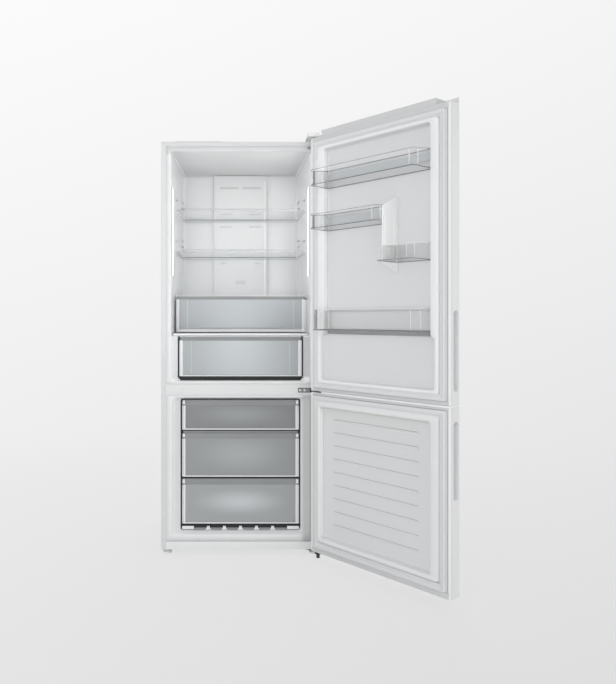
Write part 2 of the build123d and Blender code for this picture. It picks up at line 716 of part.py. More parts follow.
# ---------------------------------------------------------------- doors
def on_door(a0, a1, n0, n1, z0, z1):
    """A box on a shut door: a counts from its hinge edge, n goes inwards from its inner face."""
    return block(door_half - a1, door_half - a0, door_inner + n0, door_inner + n1, z0, z1)


def door_section(a, free, n, z0, z1, r):
    """An upright section of a liner's frame or well: a from the hinge edge, free from the free edge."""
    plane = Plane(origin=((free - a) / 2, door_inner + n, (z0 + z1) / 2), x_dir=(1, 0, 0), z_dir=(0, -1, 0))
    return plane * RectangleRounded(2 * door_half - a - free, z1 - z0, r)


def liner_form(z0, z1, spec, skin):
    """Everything behind the liner's surface, the surface pushed outwards by skin."""
    base, crest, well, floor = spec["base"], spec["crest"], spec["well"], spec["floor"]
    s = skin
    body = on_door(0, 2 * door_half, -30 - s, -s, z0, z1)
    foot, top = dyke_foot + s, dyke_crest[0] + s
    body = body + loft([
        door_section(foot, foot, -1 - s, base[0] + s, base[1] - s, 14),
        door_section(top, top, dyke_high - s, crest[0] + s, crest[1] - s, 14),
    ])
    cuts = [(spec.get("hinge", dyke_crest[1]), dyke_crest[1], well, floor)]
    if "wide" in spec:
        cuts.append((dyke_narrow, dyke_narrow, (well[0], spec["wide"]), (floor[0], spec["wide"] - 5)))
    for along, free, high, low in cuts:
        lean = well_slope - s
        body = body - loft([
            door_section(along + lean, free + lean, -well_deep - s, low[0] - s, low[1] + s, 14),
            door_section(along - s, free - s, dyke_high + 0.5, high[0] - s, high[1] + s, 14),
        ])
    return body


def make_door(name, z0, z1, grip_z, spec):
    """Skin, liner, foam, gasket, end caps and side grip of one shut door."""
    far = 2 * door_half
    tall_cap = spec["tall_cap"]
    top = z1 - recess_depth if tall_cap else z1
    cap = 6.0
    n_skin = sheet - door_thick

    line = [(-door_half, door_inner - liner_edge), (-door_half, door_outer), (door_half, door_outer),
            (door_half, door_inner - liner_edge)]
    skin = bent_sheet(line, skin_corner, z0, z1)
    n_grip = (grip_n[0] + grip_n[1]) / 2
    long, wide = grip_z[1] - grip_z[0], grip_n[1] - grip_n[0]

    def pocket(grow, start, end):
        plane = Plane(origin=(start - door_half, door_inner - n_grip, (grip_z[0] + grip_z[1]) / 2),
                      x_dir=(0, 0, 1), z_dir=(1, 0, 0))
        return extrude(plane * SlotOverall(long + 2 * grow, wide + 2 * grow), end - start)

    skin = skin - pocket(2.1, -1, 5)
    if tall_cap:
        skin = skin - block(-400, 400, door_outer + lip, door_inner + 1, top, z1 + 1)
    grip = pocket(2, 0, grip_deep + 2) - pocket(0, -1, grip_deep)

    form_out, form_in = liner_form(z0, top, spec, 0), liner_form(z0, top, spec, liner_wall)
    rim = on_door(0, far, -liner_edge, -1, z0, top)
    rim = rim - on_door(3, far - 3, -liner_edge - 1, 0, z0 + 3, top - 3)
    a0, a1, thick, rise = liner_rib
    ribs = [on_door(a0, a1, -well_deep - 0.5, rise - well_deep, z - thick / 2, z + thick / 2)
            for z in spec["ribs"]]
    liner = joined([form_out - form_in, rim] + ribs)

    def pin_space(z, long_z, r):
        return rod(r, z, z + long_z, pivot_x, pivot_y)

    boss, boss_r = 6.0, 8.5
    bottom_cap = on_door(sheet, far - sheet, n_skin, -liner_edge, z0, z0 + cap)
    bottom_cap = bottom_cap + pin_space(z0 + cap - 0.5, boss + 3.5, boss_r)
    bottom_cap = bottom_cap - pin_space(z0 - 1, cap + boss + 3, pin_r + pin_clear)
    top_cap = on_door(sheet, far - sheet, n_skin, -liner_edge, top - cap, top)
    if tall_cap:
        middle = on_door(recess_long, far - recess_long, n_skin, 0, top, z1)
        hollow = on_door(recess_long + 3, far - recess_long - 3, n_skin + 3, -liner_edge - 3, top - cap - 1,
                         z1 - 3)
        top_cap = (top_cap + middle) - hollow
    top_cap = top_cap + pin_space(top - cap - boss - 3, boss + 3.5, boss_r)
    top_cap = top_cap - pin_space(top - cap - boss - 2, cap + boss + 3, pin_r + pin_clear)
    caps = group([fillet_outer(bottom_cap), fillet_outer(top_cap)])

    low, high = z0 + cap, top - cap
    deep = grip_deep + 3
    gz0, gz1 = grip_z[0] - 3, grip_z[1] + 3
    gn0, gn1 = -grip_n[1] - 3, -grip_n[0] + 3
    split = -well_deep - liner_wall
    walls = [
        on_door(sheet, far - deep, n_skin, split, low, high),
        on_door(far - deep, far - sheet, n_skin, split, low, gz0),
        on_door(far - deep, far - sheet, n_skin, split, gz1, high),
        on_door(far - deep, far - sheet, n_skin, gn0, gz0, gz1),
    ]
    inner = dyke_crest[1] + well_slope
    well0, well1 = spec["floor"]
    for n0, n1 in ((split, -liner_wall), (-liner_wall, dyke_high)):
        walls.append(on_door(0, far, n0, n1, low, well0))
        walls.append(on_door(0, far, n0, n1, well1, high))
        walls.append(on_door(0, inner, n0, n1, well0, well1))
        walls.append(on_door(far - inner, far, n0, n1, well0, well1))
    filled = form_in - on_door(-1, 3, -40, 20, z0, z1) - on_door(far - 3, far + 1, -40, 20, z0, z1)
    keep = (on_door(sheet, far - sheet, n_skin, split, low, high) + (filled & on_door(
        0, far, split, dyke_high, low, high)))
    keep = keep - pin_space(z0 - 1, cap + boss + 5, boss_r + 0.1) - pocket(2.1, -1, grip_deep + 2.1)
    keep = keep - pin_space(top - cap - boss - 4, cap + boss + 5, boss_r + 0.1)
    keep = fillet_outer(keep)
    foam = [keep & wall for wall in walls]
    if tall_cap:
        end = recess_long + 3
        foam.append(on_door(end, far - end, n_skin + 3, -liner_edge - 3, high, z1 - 3))

    gz = spec["gasket"]
    edge_in, edge_out = door_half - gasket_in, door_half - gasket_out
    gasket = on_door(edge_out, far - edge_out, 0, gasket_high, gz[0], gz[1])
    band = gasket_out - gasket_in
    gasket = gasket - on_door(edge_in, far - edge_in, -1, gasket_high + 1, gz[0] + band, gz[1] - band)

    pieces = {"skin": skin, "liner": liner, "insulation": group(foam), "gasket": gasket,
              "caps": caps, "grip": grip}
    for key, shape in pieces.items():
        parts[f"{name}_{key}"] = at_rest(shape)


def fillet_outer(shape):
    """Rounds a shape's two outer corners to the inside of the bent door skin."""
    far = door_half - sheet
    y = door_outer + sheet
    r = skin_corner - sheet
    for s in (-1, 1):
        x0, x1 = sorted((s * (far + 1), s * (far - r)))
        corner = block(x0, x1, y - 1, y + r, 0, 2000)
        shape = shape - (corner - rod(r, -1, 2001, s * (far - r), y + r))
    return shape


def make_bins():
    """Tubs that stand off the fridge door's well, each with a raised back, and the divider plate."""
    for name, ((a0, a1), deep, z0, rim, r) in bins.items():
        def tub(shrink, low, high):
            x0, x1 = door_half - a1 + shrink, door_half - a0 - shrink
            y0, y1 = door_inner - well_deep + shrink, door_inner + deep - shrink
            body = block(x0, x1, y0, y1, low, high)
            ends = body.edges().filter_by(Axis.Z).sort_by(Axis.Y)[-2:]
            return fillet(ends, r - shrink)

        outer = tub(0, z0, rim)
        raised = on_door(a0, a1, -well_deep, bin_wall - well_deep, rim - 1, rim + bin_back_rise)
        hollow = tub(bin_wall, z0 + bin_wall, rim + 30)
        parts[name] = at_rest((outer + raised) - hollow)
    z = divider_plate_z
    y0, y1 = door_inner - well_deep, door_inner + 72
    outline = Plane(origin=(door_half - divider_plate_a[1], 0, 0), x_dir=(0, 1, 0), z_dir=(1, 0, 0))
    plate = extrude(outline * make_face(Polyline((y0, z[0]), (y1, z[0] + 40), (y1, z[1] - 49), (y0, z[1]),
                                                 close=True)), divider_plate_a[1] - divider_plate_a[0])
    parts["bin_divider"] = at_rest(plate)


# ---------------------------------------------------------------- assembly
make_shell()
make_base()
make_liners()
make_front_trims()
make_feet()
make_hinges()
make_shelves()
make_light_strips()
make_air_duct()
make_drawers()
make_freezer_inside()
make_cooler_cover()
make_cooler()
make_fan()
make_compressor()
make_condenser()
make_rear_fittings()
make_door("fridge_door", *fridge_door_z, fridge_grip_z, fridge_liner_spec)
make_door("freezer_door", *freezer_door_z, freezer_grip_z, freezer_liner_spec)
make_bins()

os.makedirs("parts", exist_ok=True)
for node, shape in parts.items():
    export_step(shape, f"parts/{node}.step")
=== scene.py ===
from functools import partial
from math import cos, pi, radians, sin

import bmesh
import bpy
import numpy as np
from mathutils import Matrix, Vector


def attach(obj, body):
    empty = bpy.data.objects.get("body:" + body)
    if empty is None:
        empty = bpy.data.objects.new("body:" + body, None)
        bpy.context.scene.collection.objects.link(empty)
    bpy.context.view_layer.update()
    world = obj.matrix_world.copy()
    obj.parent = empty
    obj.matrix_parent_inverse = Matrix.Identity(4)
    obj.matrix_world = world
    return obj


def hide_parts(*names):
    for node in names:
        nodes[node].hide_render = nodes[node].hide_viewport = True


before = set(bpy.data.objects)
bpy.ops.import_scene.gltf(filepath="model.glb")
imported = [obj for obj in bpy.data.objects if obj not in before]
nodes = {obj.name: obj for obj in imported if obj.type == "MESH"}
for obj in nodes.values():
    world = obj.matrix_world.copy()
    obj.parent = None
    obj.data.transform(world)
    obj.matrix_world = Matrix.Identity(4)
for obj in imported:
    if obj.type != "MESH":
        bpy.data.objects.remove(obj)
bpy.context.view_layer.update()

scene = bpy.context.scene
mm = 0.001

# all sizes below are millimetres; d is depth behind the cabinet's front face,
# a and n are measured on a door: a along it from its hinge edge, n out of its inner face
cabinet = {
    "front": -305.0, "back": 300.0, "side": 350.0, "bottom": 25.0, "top": 1825.0,
    "flange": 21.0, "sheet": 1.0, "bend": 3.0,
}
door = {"half": 348.5, "inner": -317.0, "thick": 62.0, "pivot": (337.5, -348.0), "turn": 129.5}
doorHeights = {"fridge": (732.0, 1823.0, 1848.0), "freezer": (38.0, 726.0, 726.0)}


# shapes
def cabinetPoint(p):
    # x stays, depth d becomes y = front + d
    return np.stack([p[..., 0], cabinet["front"] + p[..., 1], p[..., 2]], -1) * mm


def doorPoint(p):
    # the shut door's place turned about the hinge line by the rest angle
    px, py = door["pivot"]
    x = door["half"] - p[..., 0] - px
    y = door["inner"] + p[..., 1] - py
    c, s = cos(radians(door["turn"])), sin(radians(door["turn"]))
    return np.stack([px + x * c - y * s, py + x * s + y * c, p[..., 2]], -1) * mm


def roundedOutline(corners, radii, steps=6):
    # each corner p becomes the arc from p + u*r/tan(h) to p + v*r/tan(h), u and v towards its neighbours
    # and h half its angle, as a rational curve whose middle weight is sin(h)
    p = np.array(corners, float)
    r = np.broadcast_to(np.array(radii, float), (len(p),))
    u = np.roll(p, 1, 0) - p
    v = np.roll(p, -1, 0) - p
    u /= np.linalg.norm(u, axis=1)[:, None]
    v /= np.linalg.norm(v, axis=1)[:, None]
    h = np.arccos(np.clip((u * v).sum(1), -1, 1)) / 2
    reach = (r / np.tan(np.clip(h, 1e-3, pi / 2 - 1e-6)))[:, None]
    t = np.linspace(0, 1, steps)[None, :, None]
    a, b, c = (1 - t) ** 2, 2 * t * (1 - t) * np.sin(h)[:, None, None], t ** 2
    start, end = (p + u * reach)[:, None], (p + v * reach)[:, None]
    return ((a * start + b * p[:, None] + c * end) / (a + b + c)).reshape(-1, 2)


def rectOutline(u0, u1, v0, v1, r, steps=6):
    return roundedOutline([(u0, v0), (u1, v0), (u1, v1), (u0, v1)], max(r, 0.02), steps)


def turnOver(r, steps=5):
    # a quarter round of an edge in rows: how far in (r - r sin t) and how far on (r - r cos t)
    t = np.linspace(0, pi / 2, steps)
    return r * (1 - np.stack([np.sin(t), np.cos(t)], 1))


def ringAt(place, flat, axis=1):
    # flat points carried to their place along one axis: depth, or n on a door, unless another is named
    return np.insert(flat, axis, place, 1)


def roundedBlock(lo, hi, axis, corner, edge):
    # a rectangle with round corners carried along one axis, shrinking round both ends by turnOver
    u, v = [k for k in range(3) if k != axis]
    turn = turnOver(edge)
    ends = [(i, lo[axis] + d) for i, d in turn] + [(i, hi[axis] - d) for i, d in turn[::-1]]
    return np.array([ringAt(h, rectOutline(lo[u] + i, hi[u] - i, lo[v] + i, hi[v] - i, corner - i), axis)
                     for i, h in ends])


def turned(profile, centre, steps):
    # a profile of (radius, height) turned about an upright axis through centre
    t = np.linspace(0, 2 * pi, steps, endpoint=False)
    r, h = np.array(profile, float).T[..., None]
    return np.stack([centre[0] + r * np.cos(t), centre[1] + r * np.sin(t), h + 0 * t], -1)


def shellOf(rings, capStart=True, capEnd=True, closed=False):
    # neighbouring rings joined by quads, ring i to ring i+1, point j to point j+1
    m, n = rings.shape[:2]
    i, j = np.meshgrid(np.arange(m if closed else m - 1), np.arange(n), indexing="ij")
    k, l = (i + 1) % m, (j + 1) % n
    faces = np.stack([i * n + j, i * n + l, k * n + l, k * n + j], -1).reshape(-1, 4).tolist()
    if capStart and not closed:
        faces.append(list(range(n))[::-1])
    if capEnd and not closed:
        faces.append(list(range((m - 1) * n, m * n)))
    return rings.reshape(-1, 3), faces


def inCabinet(rings, *caps):
    return shellOf(cabinetPoint(np.asarray(rings)), *caps)


def onDoor(rings, *caps, closed=False):
    return shellOf(doorPoint(np.asarray(rings)), *caps, closed=closed)


def cabinetBlock(*block):
    return inCabinet(roundedBlock(*block))


def doorBlock(*block):
    return onDoor(roundedBlock(*block))


meshing = {"merge": 2e-6, "sliver": 1e-6}


def modify(obj, name, kind, **settings):
    # a modifier with its settings
    step = obj.modifiers.new(name, kind)
    for key, value in settings.items():
        setattr(step, key, value)


def newObject(name, data):
    obj = bpy.data.objects.new(name, data)
    scene.collection.objects.link(obj)
    return obj


def makePiece(name, shells, look, node=None, body="cabinet", sharp=38, wall=0.0,
              facing=None):
    # shells joined into one mesh, doubles merged, closed ones turned outwards, open ones towards a point
    verts, faces, base = [], [], 0
    for v, f in shells:
        verts.append(v)
        faces += [[q + base for q in face] for face in f]
        base += len(v)
    mesh = bpy.data.meshes.new(name)
    mesh.from_pydata(np.concatenate(verts).tolist(), [], faces)
    work = bmesh.new()
    work.from_mesh(mesh)
    bmesh.ops.remove_doubles(work, verts=work.verts, dist=meshing["merge"])
    bmesh.ops.dissolve_degenerate(work, edges=work.edges, dist=meshing["sliver"])
    bmesh.ops.recalc_face_normals(work, faces=work.faces)
    if facing is not None:
        goal = np.array(facing) * mm
        toGoal = sum((goal - np.array(f.calc_center_median())) @ np.array(f.normal) * f.calc_area()
                     for f in work.faces)
        if toGoal < 0:
            bmesh.ops.reverse_faces(work, faces=work.faces)
    work.to_mesh(mesh)
    work.free()
    mesh.shade_smooth()
    mesh.set_sharp_from_angle(angle=radians(sharp))
    obj = newObject(name, mesh)
    mesh.materials.append(look)
    if wall:
        modify(obj, "wall", "SOLIDIFY", thickness=wall * mm, offset=-1.0)
    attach(obj, body)
    if node:
        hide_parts(node)
    return obj


def finishNode(name, look, bevel):
    # a CAD node keeps its mesh and gets a finish; its sharp edges may be eased
    obj = nodes[name]
    obj.data.materials.clear()
    obj.data.materials.append(look)
    if bevel:
        modify(obj, "weld", "WELD", merge_threshold=meshing["sliver"])
        modify(obj, "flat", "DECIMATE", decimate_type="DISSOLVE", angle_limit=radians(0.5))
        modify(obj, "ease", "BEVEL", width=bevel * mm, segments=2, limit_method="ANGLE",
               angle_limit=radians(40), harden_normals=True)


print("frame loaded:", len(nodes), "nodes")


# finishes
def newGroup(name, inputs, outputs):
    group = bpy.data.node_groups.new(name, "ShaderNodeTree")
    for label, kind, value in inputs:
        socket = group.interface.new_socket(name=label, in_out="INPUT", socket_type=kind)
        socket.default_value = value
    for label, kind in outputs:
        group.interface.new_socket(name=label, in_out="OUTPUT", socket_type=kind)
    return group, group.nodes.new("NodeGroupInput"), group.nodes.new("NodeGroupOutput")


def feed(tree, socket, value):
    # a socket takes another socket's value or a plain one
    if isinstance(value, bpy.types.NodeSocket):
        tree.links.new(value, socket)
    else:
        socket.default_value = value


def newNode(tree, kind, values=(), **settings):
    # a node with its settings made and its inputs fed, each known by its label or its number
    node = tree.nodes.new(kind)
    for key, value in settings.items():
        setattr(node, key, value)
    for label, value in dict(values).items():
        feed(tree, node.inputs[label], value)
    return node


def mathNode(tree, operation, *values):
    return newNode(tree, "ShaderNodeMath", enumerate(values), operation=operation).outputs[0]


def vectorNumber(tree, operation, *values):
    return newNode(tree, "ShaderNodeVectorMath", enumerate(values), operation=operation).outputs["Value"]


def mapRange(tree, value, fromRange, toRange, smooth=False):
    labels = ("Value", "From Min", "From Max", "To Min", "To Max")
    return newNode(tree, "ShaderNodeMapRange", zip(labels, (value, *fromRange, *toRange)),
                   interpolation_type="SMOOTHSTEP" if smooth else "LINEAR").outputs["Result"]


# the Glow and Lift numbers paint light and shade into a surface's colour
groupNumbers = {
    "Drift": 0.03, "Roughness": 0.4, "Smudge": 0.06, "Grain Size": 400.0, "Grain": 0.02, "Glow": 0.0,
    "Glow Height": 0.0, "Glow Tall": 1000.0, "Glow Wide": 0.24, "Lift": 0.0, "Lift From": 0.0, "Lift To": 1.0,
}
# each noise's scale and detail
noises = {"drift": (3.2, 2.0), "smudge": (11.0, 4.0), "grainDetail": 1.0, "grainDepth": 0.0004}


def mouldedGroup():
    # tint = colour * (1 + drift * noise + glow * g + lift * l): g falls smoothly from 1 to 0 as
    # sqrt((x / wide)^2 + ((z - height) / tall)^2) goes from 0 to 1, and l rises smoothly from 0 to 1 as the
    # distance along a direction goes from one plane to another; glow is a painted pool of light and lift is
    # painted light or shade towards one side of a piece; gloss drifts, a fine grain feeds the bump
    inputs = [("Color", "NodeSocketColor", (0.8, 0.8, 0.8, 1)),
              ("Lift Direction", "NodeSocketVector", (0.0, 0.0, 1.0))]
    inputs += [(label, "NodeSocketFloat", value) for label, value in groupNumbers.items()]
    outputs = [(label, f"NodeSocket{kind}") for label, kind in
               (("Color", "Color"), ("Roughness", "Float"), ("Normal", "Vector"))]
    group, inp, out = newGroup("mouldedSurface", inputs, outputs)
    given, calc = inp.outputs, partial(mathNode, group)
    place = newNode(group, "ShaderNodeTexCoord").outputs["Object"]

    def noise(scale, detail):
        values = zip(("Vector", "Scale", "Detail"), (place, scale, detail))
        return newNode(group, "ShaderNodeTexNoise", values).outputs["Fac"]

    x, _, z = newNode(group, "ShaderNodeSeparateXYZ", {0: place}).outputs
    across = calc("DIVIDE", x, given["Glow Wide"])
    up = calc("DIVIDE", calc("SUBTRACT", z, given["Glow Height"]), given["Glow Tall"])
    away = calc("SQRT", calc("ADD", calc("MULTIPLY", across, across), calc("MULTIPLY", up, up)))
    middle = mapRange(group, away, (0.0, 1.0), (1.0, 0.0), True)
    reach = vectorNumber(group, "DOT_PRODUCT", place, given["Lift Direction"])
    raised = mapRange(group, reach, (given["Lift From"], given["Lift To"]), (0.0, 1.0), True)
    share = calc("MULTIPLY", calc("SUBTRACT", noise(*noises["drift"]), 0.5), given["Drift"])
    share = calc("ADD", share, calc("MULTIPLY", middle, given["Glow"]))
    share = calc("ADD", share, calc("MULTIPLY", raised, given["Lift"]))
    tint = newNode(group, "ShaderNodeVectorMath", {0: given["Color"], "Scale": calc("ADD", share, 1.0)},
                   operation="SCALE")
    smear = calc("SUBTRACT", noise(*noises["smudge"]), 0.5)
    bump = newNode(group, "ShaderNodeBump", {
        "Distance": noises["grainDepth"], "Strength": given["Grain"],
        "Height": noise(given["Grain Size"], noises["grainDetail"])})
    results = {"Color": tint.outputs[0], "Normal": bump.outputs["Normal"],
               "Roughness": calc("MULTIPLY_ADD", smear, given["Smudge"], given["Roughness"])}
    for label, result in results.items():
        feed(group, out.inputs[label], result)
    return group


moulded = mouldedGroup()
edgeBlend = 0.15


# glow paints a pool of light into the colour, lift paints light or shade towards one side of a piece
def finish(name, color, roughness, drift=0.03, smudge=0.08, grainSize=400.0, grain=0.05, metallic=0.0,
           coat=0.0, alpha=1.0, edgeAlpha=None, glow=(0.0, 0.0, 1000.0, 0.24),
           lift=(0.0, (0.0, 0.0, 1.0), 0.0, 1.0), specular=0.5):
    mat = bpy.data.materials.new(name)
    mat.use_nodes = True
    tree = mat.node_tree
    shader = tree.nodes["Principled BSDF"].inputs
    values = {"Color": (*color, 1), "Drift": drift, "Roughness": roughness, "Smudge": smudge,
              "Grain Size": grainSize, "Grain": grain}
    values.update(zip(("Glow", "Glow Height", "Glow Tall", "Glow Wide"), glow))
    values.update(zip(("Lift", "Lift Direction", "Lift From", "Lift To"), lift))
    surface = newNode(tree, "ShaderNodeGroup", node_tree=moulded)
    for label, value in values.items():
        feed(tree, surface.inputs[label], value)
    made = surface.outputs
    plain = {"Metallic": metallic, "Coat Weight": coat, "Specular IOR Level": specular, "Alpha": alpha}
    for label, value in {"Base Color": made["Color"], "Roughness": made["Roughness"],
                         "Normal": made["Normal"], **plain}.items():
        feed(tree, shader[label], value)
    if edgeAlpha is not None:
        # seen edge on, clear sheet is denser: alpha runs from the face value to the edge value
        facing = newNode(tree, "ShaderNodeLayerWeight", {"Blend": edgeBlend}).outputs["Facing"]
        feed(tree, shader["Alpha"], mapRange(tree, facing, (0.0, 1.0), (alpha, edgeAlpha)))
    return mat


def glowing(name, color, shown, given):
    # seen directly the lens is plain white, the light it gives to the room is stronger
    mat = finish(name, [0.3 * c for c in color], 0.5)
    tree = mat.node_tree
    shader = tree.nodes["Principled BSDF"].inputs
    feed(tree, shader["Emission Color"], (*color, 1))
    ray = newNode(tree, "ShaderNodeLightPath").outputs["Is Camera Ray"]
    feed(tree, shader["Emission Strength"], mapRange(tree, ray, (0.0, 1.0), (given, shown)))
    return mat


# what several finishes share
paintFeel = dict(drift=0.012, grainSize=900.0, coat=0.25)
linerFeel = dict(drift=0.014, grainSize=260.0, grain=0.03, coat=0.15)
tubFeel = dict(alpha=0.86, edgeAlpha=0.95)
coldFeel = dict(alpha=0.85, edgeAlpha=0.95)
bandFeel = dict(drift=0.35, smudge=0.3, grainSize=120.0, grain=0.2)
whitePaint = finish("whitePaint", (0.728, 0.732, 0.735), 0.32, **paintFeel)
doorPaint = finish("doorPaint", (0.762, 0.766, 0.77), 0.32, **paintFeel)
# linerWhite's lift darkens it above z 1.762 to 1.777 m: painted shade on the ceiling
linerWhite = finish("linerWhite", (0.885, 0.891, 0.895), 0.32, **linerFeel,
                    lift=(-0.16, (0.0, 0.0, 1.0), 1.762, 1.777))
# freezerWhite's lift darkens it towards the right, from x 0.262 to 0.286 m: painted shade on the mouth's
# right bevel
freezerWhite = finish("freezerWhite", (0.875, 0.881, 0.885), 0.32, **linerFeel,
                      lift=(-0.32, (1.0, 0.0, 0.0), 0.262, 0.286))
turnNow = radians(door["turn"])
inwards = (-sin(turnNow), cos(turnNow), 0.0)
doorPlane = float(np.dot(doorPoint(np.zeros(3)), inwards))
# the door liners' lift brightens them from 4 mm into to 10 mm out of the door's inner face: a painted
# highlight on the raised frame's crest
crestHighlightBand = (inwards, doorPlane - 0.004, doorPlane + 0.010)
doorLinerWhite, freezerDoorWhite = [
    finish(name, (0.755, 0.76, 0.765), 0.34, **linerFeel, lift=(lift, *crestHighlightBand))
    for name, lift in (("doorLinerWhite", 0.20), ("freezerDoorWhite", 0.10))]
trimWhite = finish("trimWhite", (0.89, 0.893, 0.896), 0.30, drift=0.01, coat=0.2)
# beadWhite is brighter than the other whites: on the corner and duct beads, the door dykes' beads, the rib
# gleams, the skin's corner band and the plate under the hinge cover it is painted light
beadWhite = finish("beadWhite", (0.97, 0.97, 0.97), 0.35, drift=0.005, smudge=0.02, grain=0.01)
dividerWhite = finish("dividerWhite", (0.805, 0.808, 0.81), 0.34, drift=0.012, grainSize=700.0, coat=0.15)
# kickWhite is lighter than the divider rail's white: painted light for the low rail that gets little light
kickWhite = finish("kickWhite", (0.88, 0.883, 0.885), 0.36, drift=0.012, grainSize=700.0, coat=0.1)
lipWhite = finish("lipWhite", (0.76, 0.768, 0.772), 0.34, drift=0.02)
# lugGrey, on the shelf lugs, the duct cover's edge lines and the top sheet's front edge line, is painted
# shade
lugGrey = finish("lugGrey", (0.62, 0.632, 0.64), 0.45, drift=0.05)
edgeGrey = finish("edgeGrey", (0.20, 0.215, 0.225), 0.40, drift=0.10, alpha=0.85)
lineGrey = finish("lineGrey", (0.40, 0.42, 0.43), 0.40, drift=0.08, alpha=0.8)
frontLight = finish("frontLight", (0.60, 0.622, 0.635), 0.36, drift=0.02)
capFace = finish("capFace", (0.67, 0.675, 0.68), 0.45, grainSize=700.0, grain=0.08)
capGrey = finish("capGrey", (0.66, 0.665, 0.67), 0.45, grainSize=700.0, grain=0.10)
gripGrey = finish("gripGrey", (0.76, 0.764, 0.768), 0.34, grainSize=700.0, grain=0.08)
sealWhite = finish("sealWhite", (0.77, 0.775, 0.78), 0.5, drift=0.03, grainSize=500.0, grain=0.10)
ductWhite = finish("ductWhite", (0.812, 0.821, 0.822), 0.36, drift=0.01, grainSize=500.0, grain=0.06)
drawerTint = finish("drawerTint", (0.62, 0.645, 0.66), 0.26, drift=0.05, smudge=0.12, **tubFeel)
# chillerFront's glow is a painted pool of light across the middle of the chiller and crisper fronts
chillerFront = finish("chillerFront", (0.505, 0.532, 0.548), 0.36, drift=0.05, smudge=0.06, **tubFeel,
                      glow=(0.34, 0.93, 0.42, 0.27))
freezerTint = finish("freezerTint", (0.46, 0.48, 0.49), 0.26, drift=0.10, smudge=0.05, **coldFeel)
# each freezer front's grey and its glow, both painted light: the greys differ from drawer to drawer and the
# glow is a painted pool of light; glow: how strong, at what height and how tall
frontPaintedLight = ((0.312, 0.30, 0.612, 0.06), (0.398, 0.26, 0.435, 0.10), (0.462, 0.50, 0.222, 0.070))
freezerFronts = [finish(f"freezerFront{k}", (grey, grey * 1.035, grey * 1.05), 0.26, drift=0.08, smudge=0.04,
                        glow=(*glow, 0.24), **coldFeel) for k, (grey, *glow) in enumerate(frontPaintedLight)]
# on the drawers' grip channels, the strip under the bottle bin and some gap strips, bandGrey and bandDark are
# painted shade
bandGrey = finish("bandGrey", (0.29, 0.298, 0.303), 0.5, **bandFeel)
bandDark = finish("bandDark", (0.30, 0.31, 0.318), 0.5, **bandFeel)
binClear = finish("binClear", (0.55, 0.57, 0.585), 0.14, drift=0.03, alpha=0.006, edgeAlpha=0.16)
binPale = finish("binPale", (0.72, 0.735, 0.745), 0.14, drift=0.03, alpha=0.004, edgeAlpha=0.035)
# binShade is painted shade; binLine, binEdge and binGleam give the bins painted dark and bright edge lines
binShade = finish("binShade", (0.545, 0.572, 0.59), 0.34, drift=0.08)
binLine = finish("binLine", (0.36, 0.375, 0.385), 0.14, drift=0.06, alpha=0.45)
binEdge = finish("binEdge", (0.30, 0.315, 0.325), 0.14, drift=0.06, alpha=0.62)
binGleam = finish("binGleam", (0.96, 0.965, 0.97), 0.12, drift=0.02, alpha=0.85)
shelfGlass = finish("shelfGlass", (0.55, 0.575, 0.585), 0.05, drift=0.01, alpha=0.03, edgeAlpha=0.16,
                    specular=0.15)
shelfTrimClear = finish("shelfTrimClear", (0.80, 0.81, 0.815), 0.4, drift=0.02, alpha=0.05, edgeAlpha=0.20,
                        specular=0.05)
foamCream = finish("foamCream", (0.76, 0.735, 0.66), 0.85, drift=0.12, grainSize=150.0, grain=0.6)
zincSteel = finish("zincSteel", (0.55, 0.56, 0.57), 0.42, drift=0.10, smudge=0.25, metallic=0.9, grain=0.08)
hingeGrey = finish("hingeGrey", (0.26, 0.265, 0.27), 0.40, drift=0.1, metallic=0.1)
hingeDark = finish("hingeDark", (0.045, 0.046, 0.05), 0.42, drift=0.15, smudge=0.2, metallic=0.3)
boltSteel = finish("boltSteel", (0.74, 0.745, 0.75), 0.28, drift=0.08, smudge=0.2, metallic=1.0)
blackEnamel = finish("blackEnamel", (0.018, 0.018, 0.019), 0.30, drift=0.2, smudge=0.2, coat=0.4)
blackRubber = finish("blackRubber", (0.025, 0.025, 0.026), 0.75, grain=0.3)
# gapBlack is painted shade: black strips and blocks deep in gaps and slots
gapBlack = finish("gapBlack", (0.012, 0.012, 0.013), 0.6)
# footGrey's near white is partly painted light, offsetting the shade under the cabinet
footGrey = finish("footGrey", (0.93, 0.933, 0.935), 0.48, grain=0.12)
plasticBlack = finish("plasticBlack", (0.03, 0.03, 0.032), 0.5, grain=0.15)
coolerAluminium = finish("coolerAluminium", (0.78, 0.79, 0.80), 0.34, drift=0.08, smudge=0.2, metallic=1.0)
pipeCopper = finish("pipeCopper", (0.72, 0.36, 0.20), 0.30, drift=0.18, smudge=0.25, metallic=1.0)
lampGlows = [glowing(f"lampGlow{k}", (1.0, 1.0, 0.99), 0.95, given) for k, given in ((0, 6.2), (1, 13.0))]
print("finishes ready")


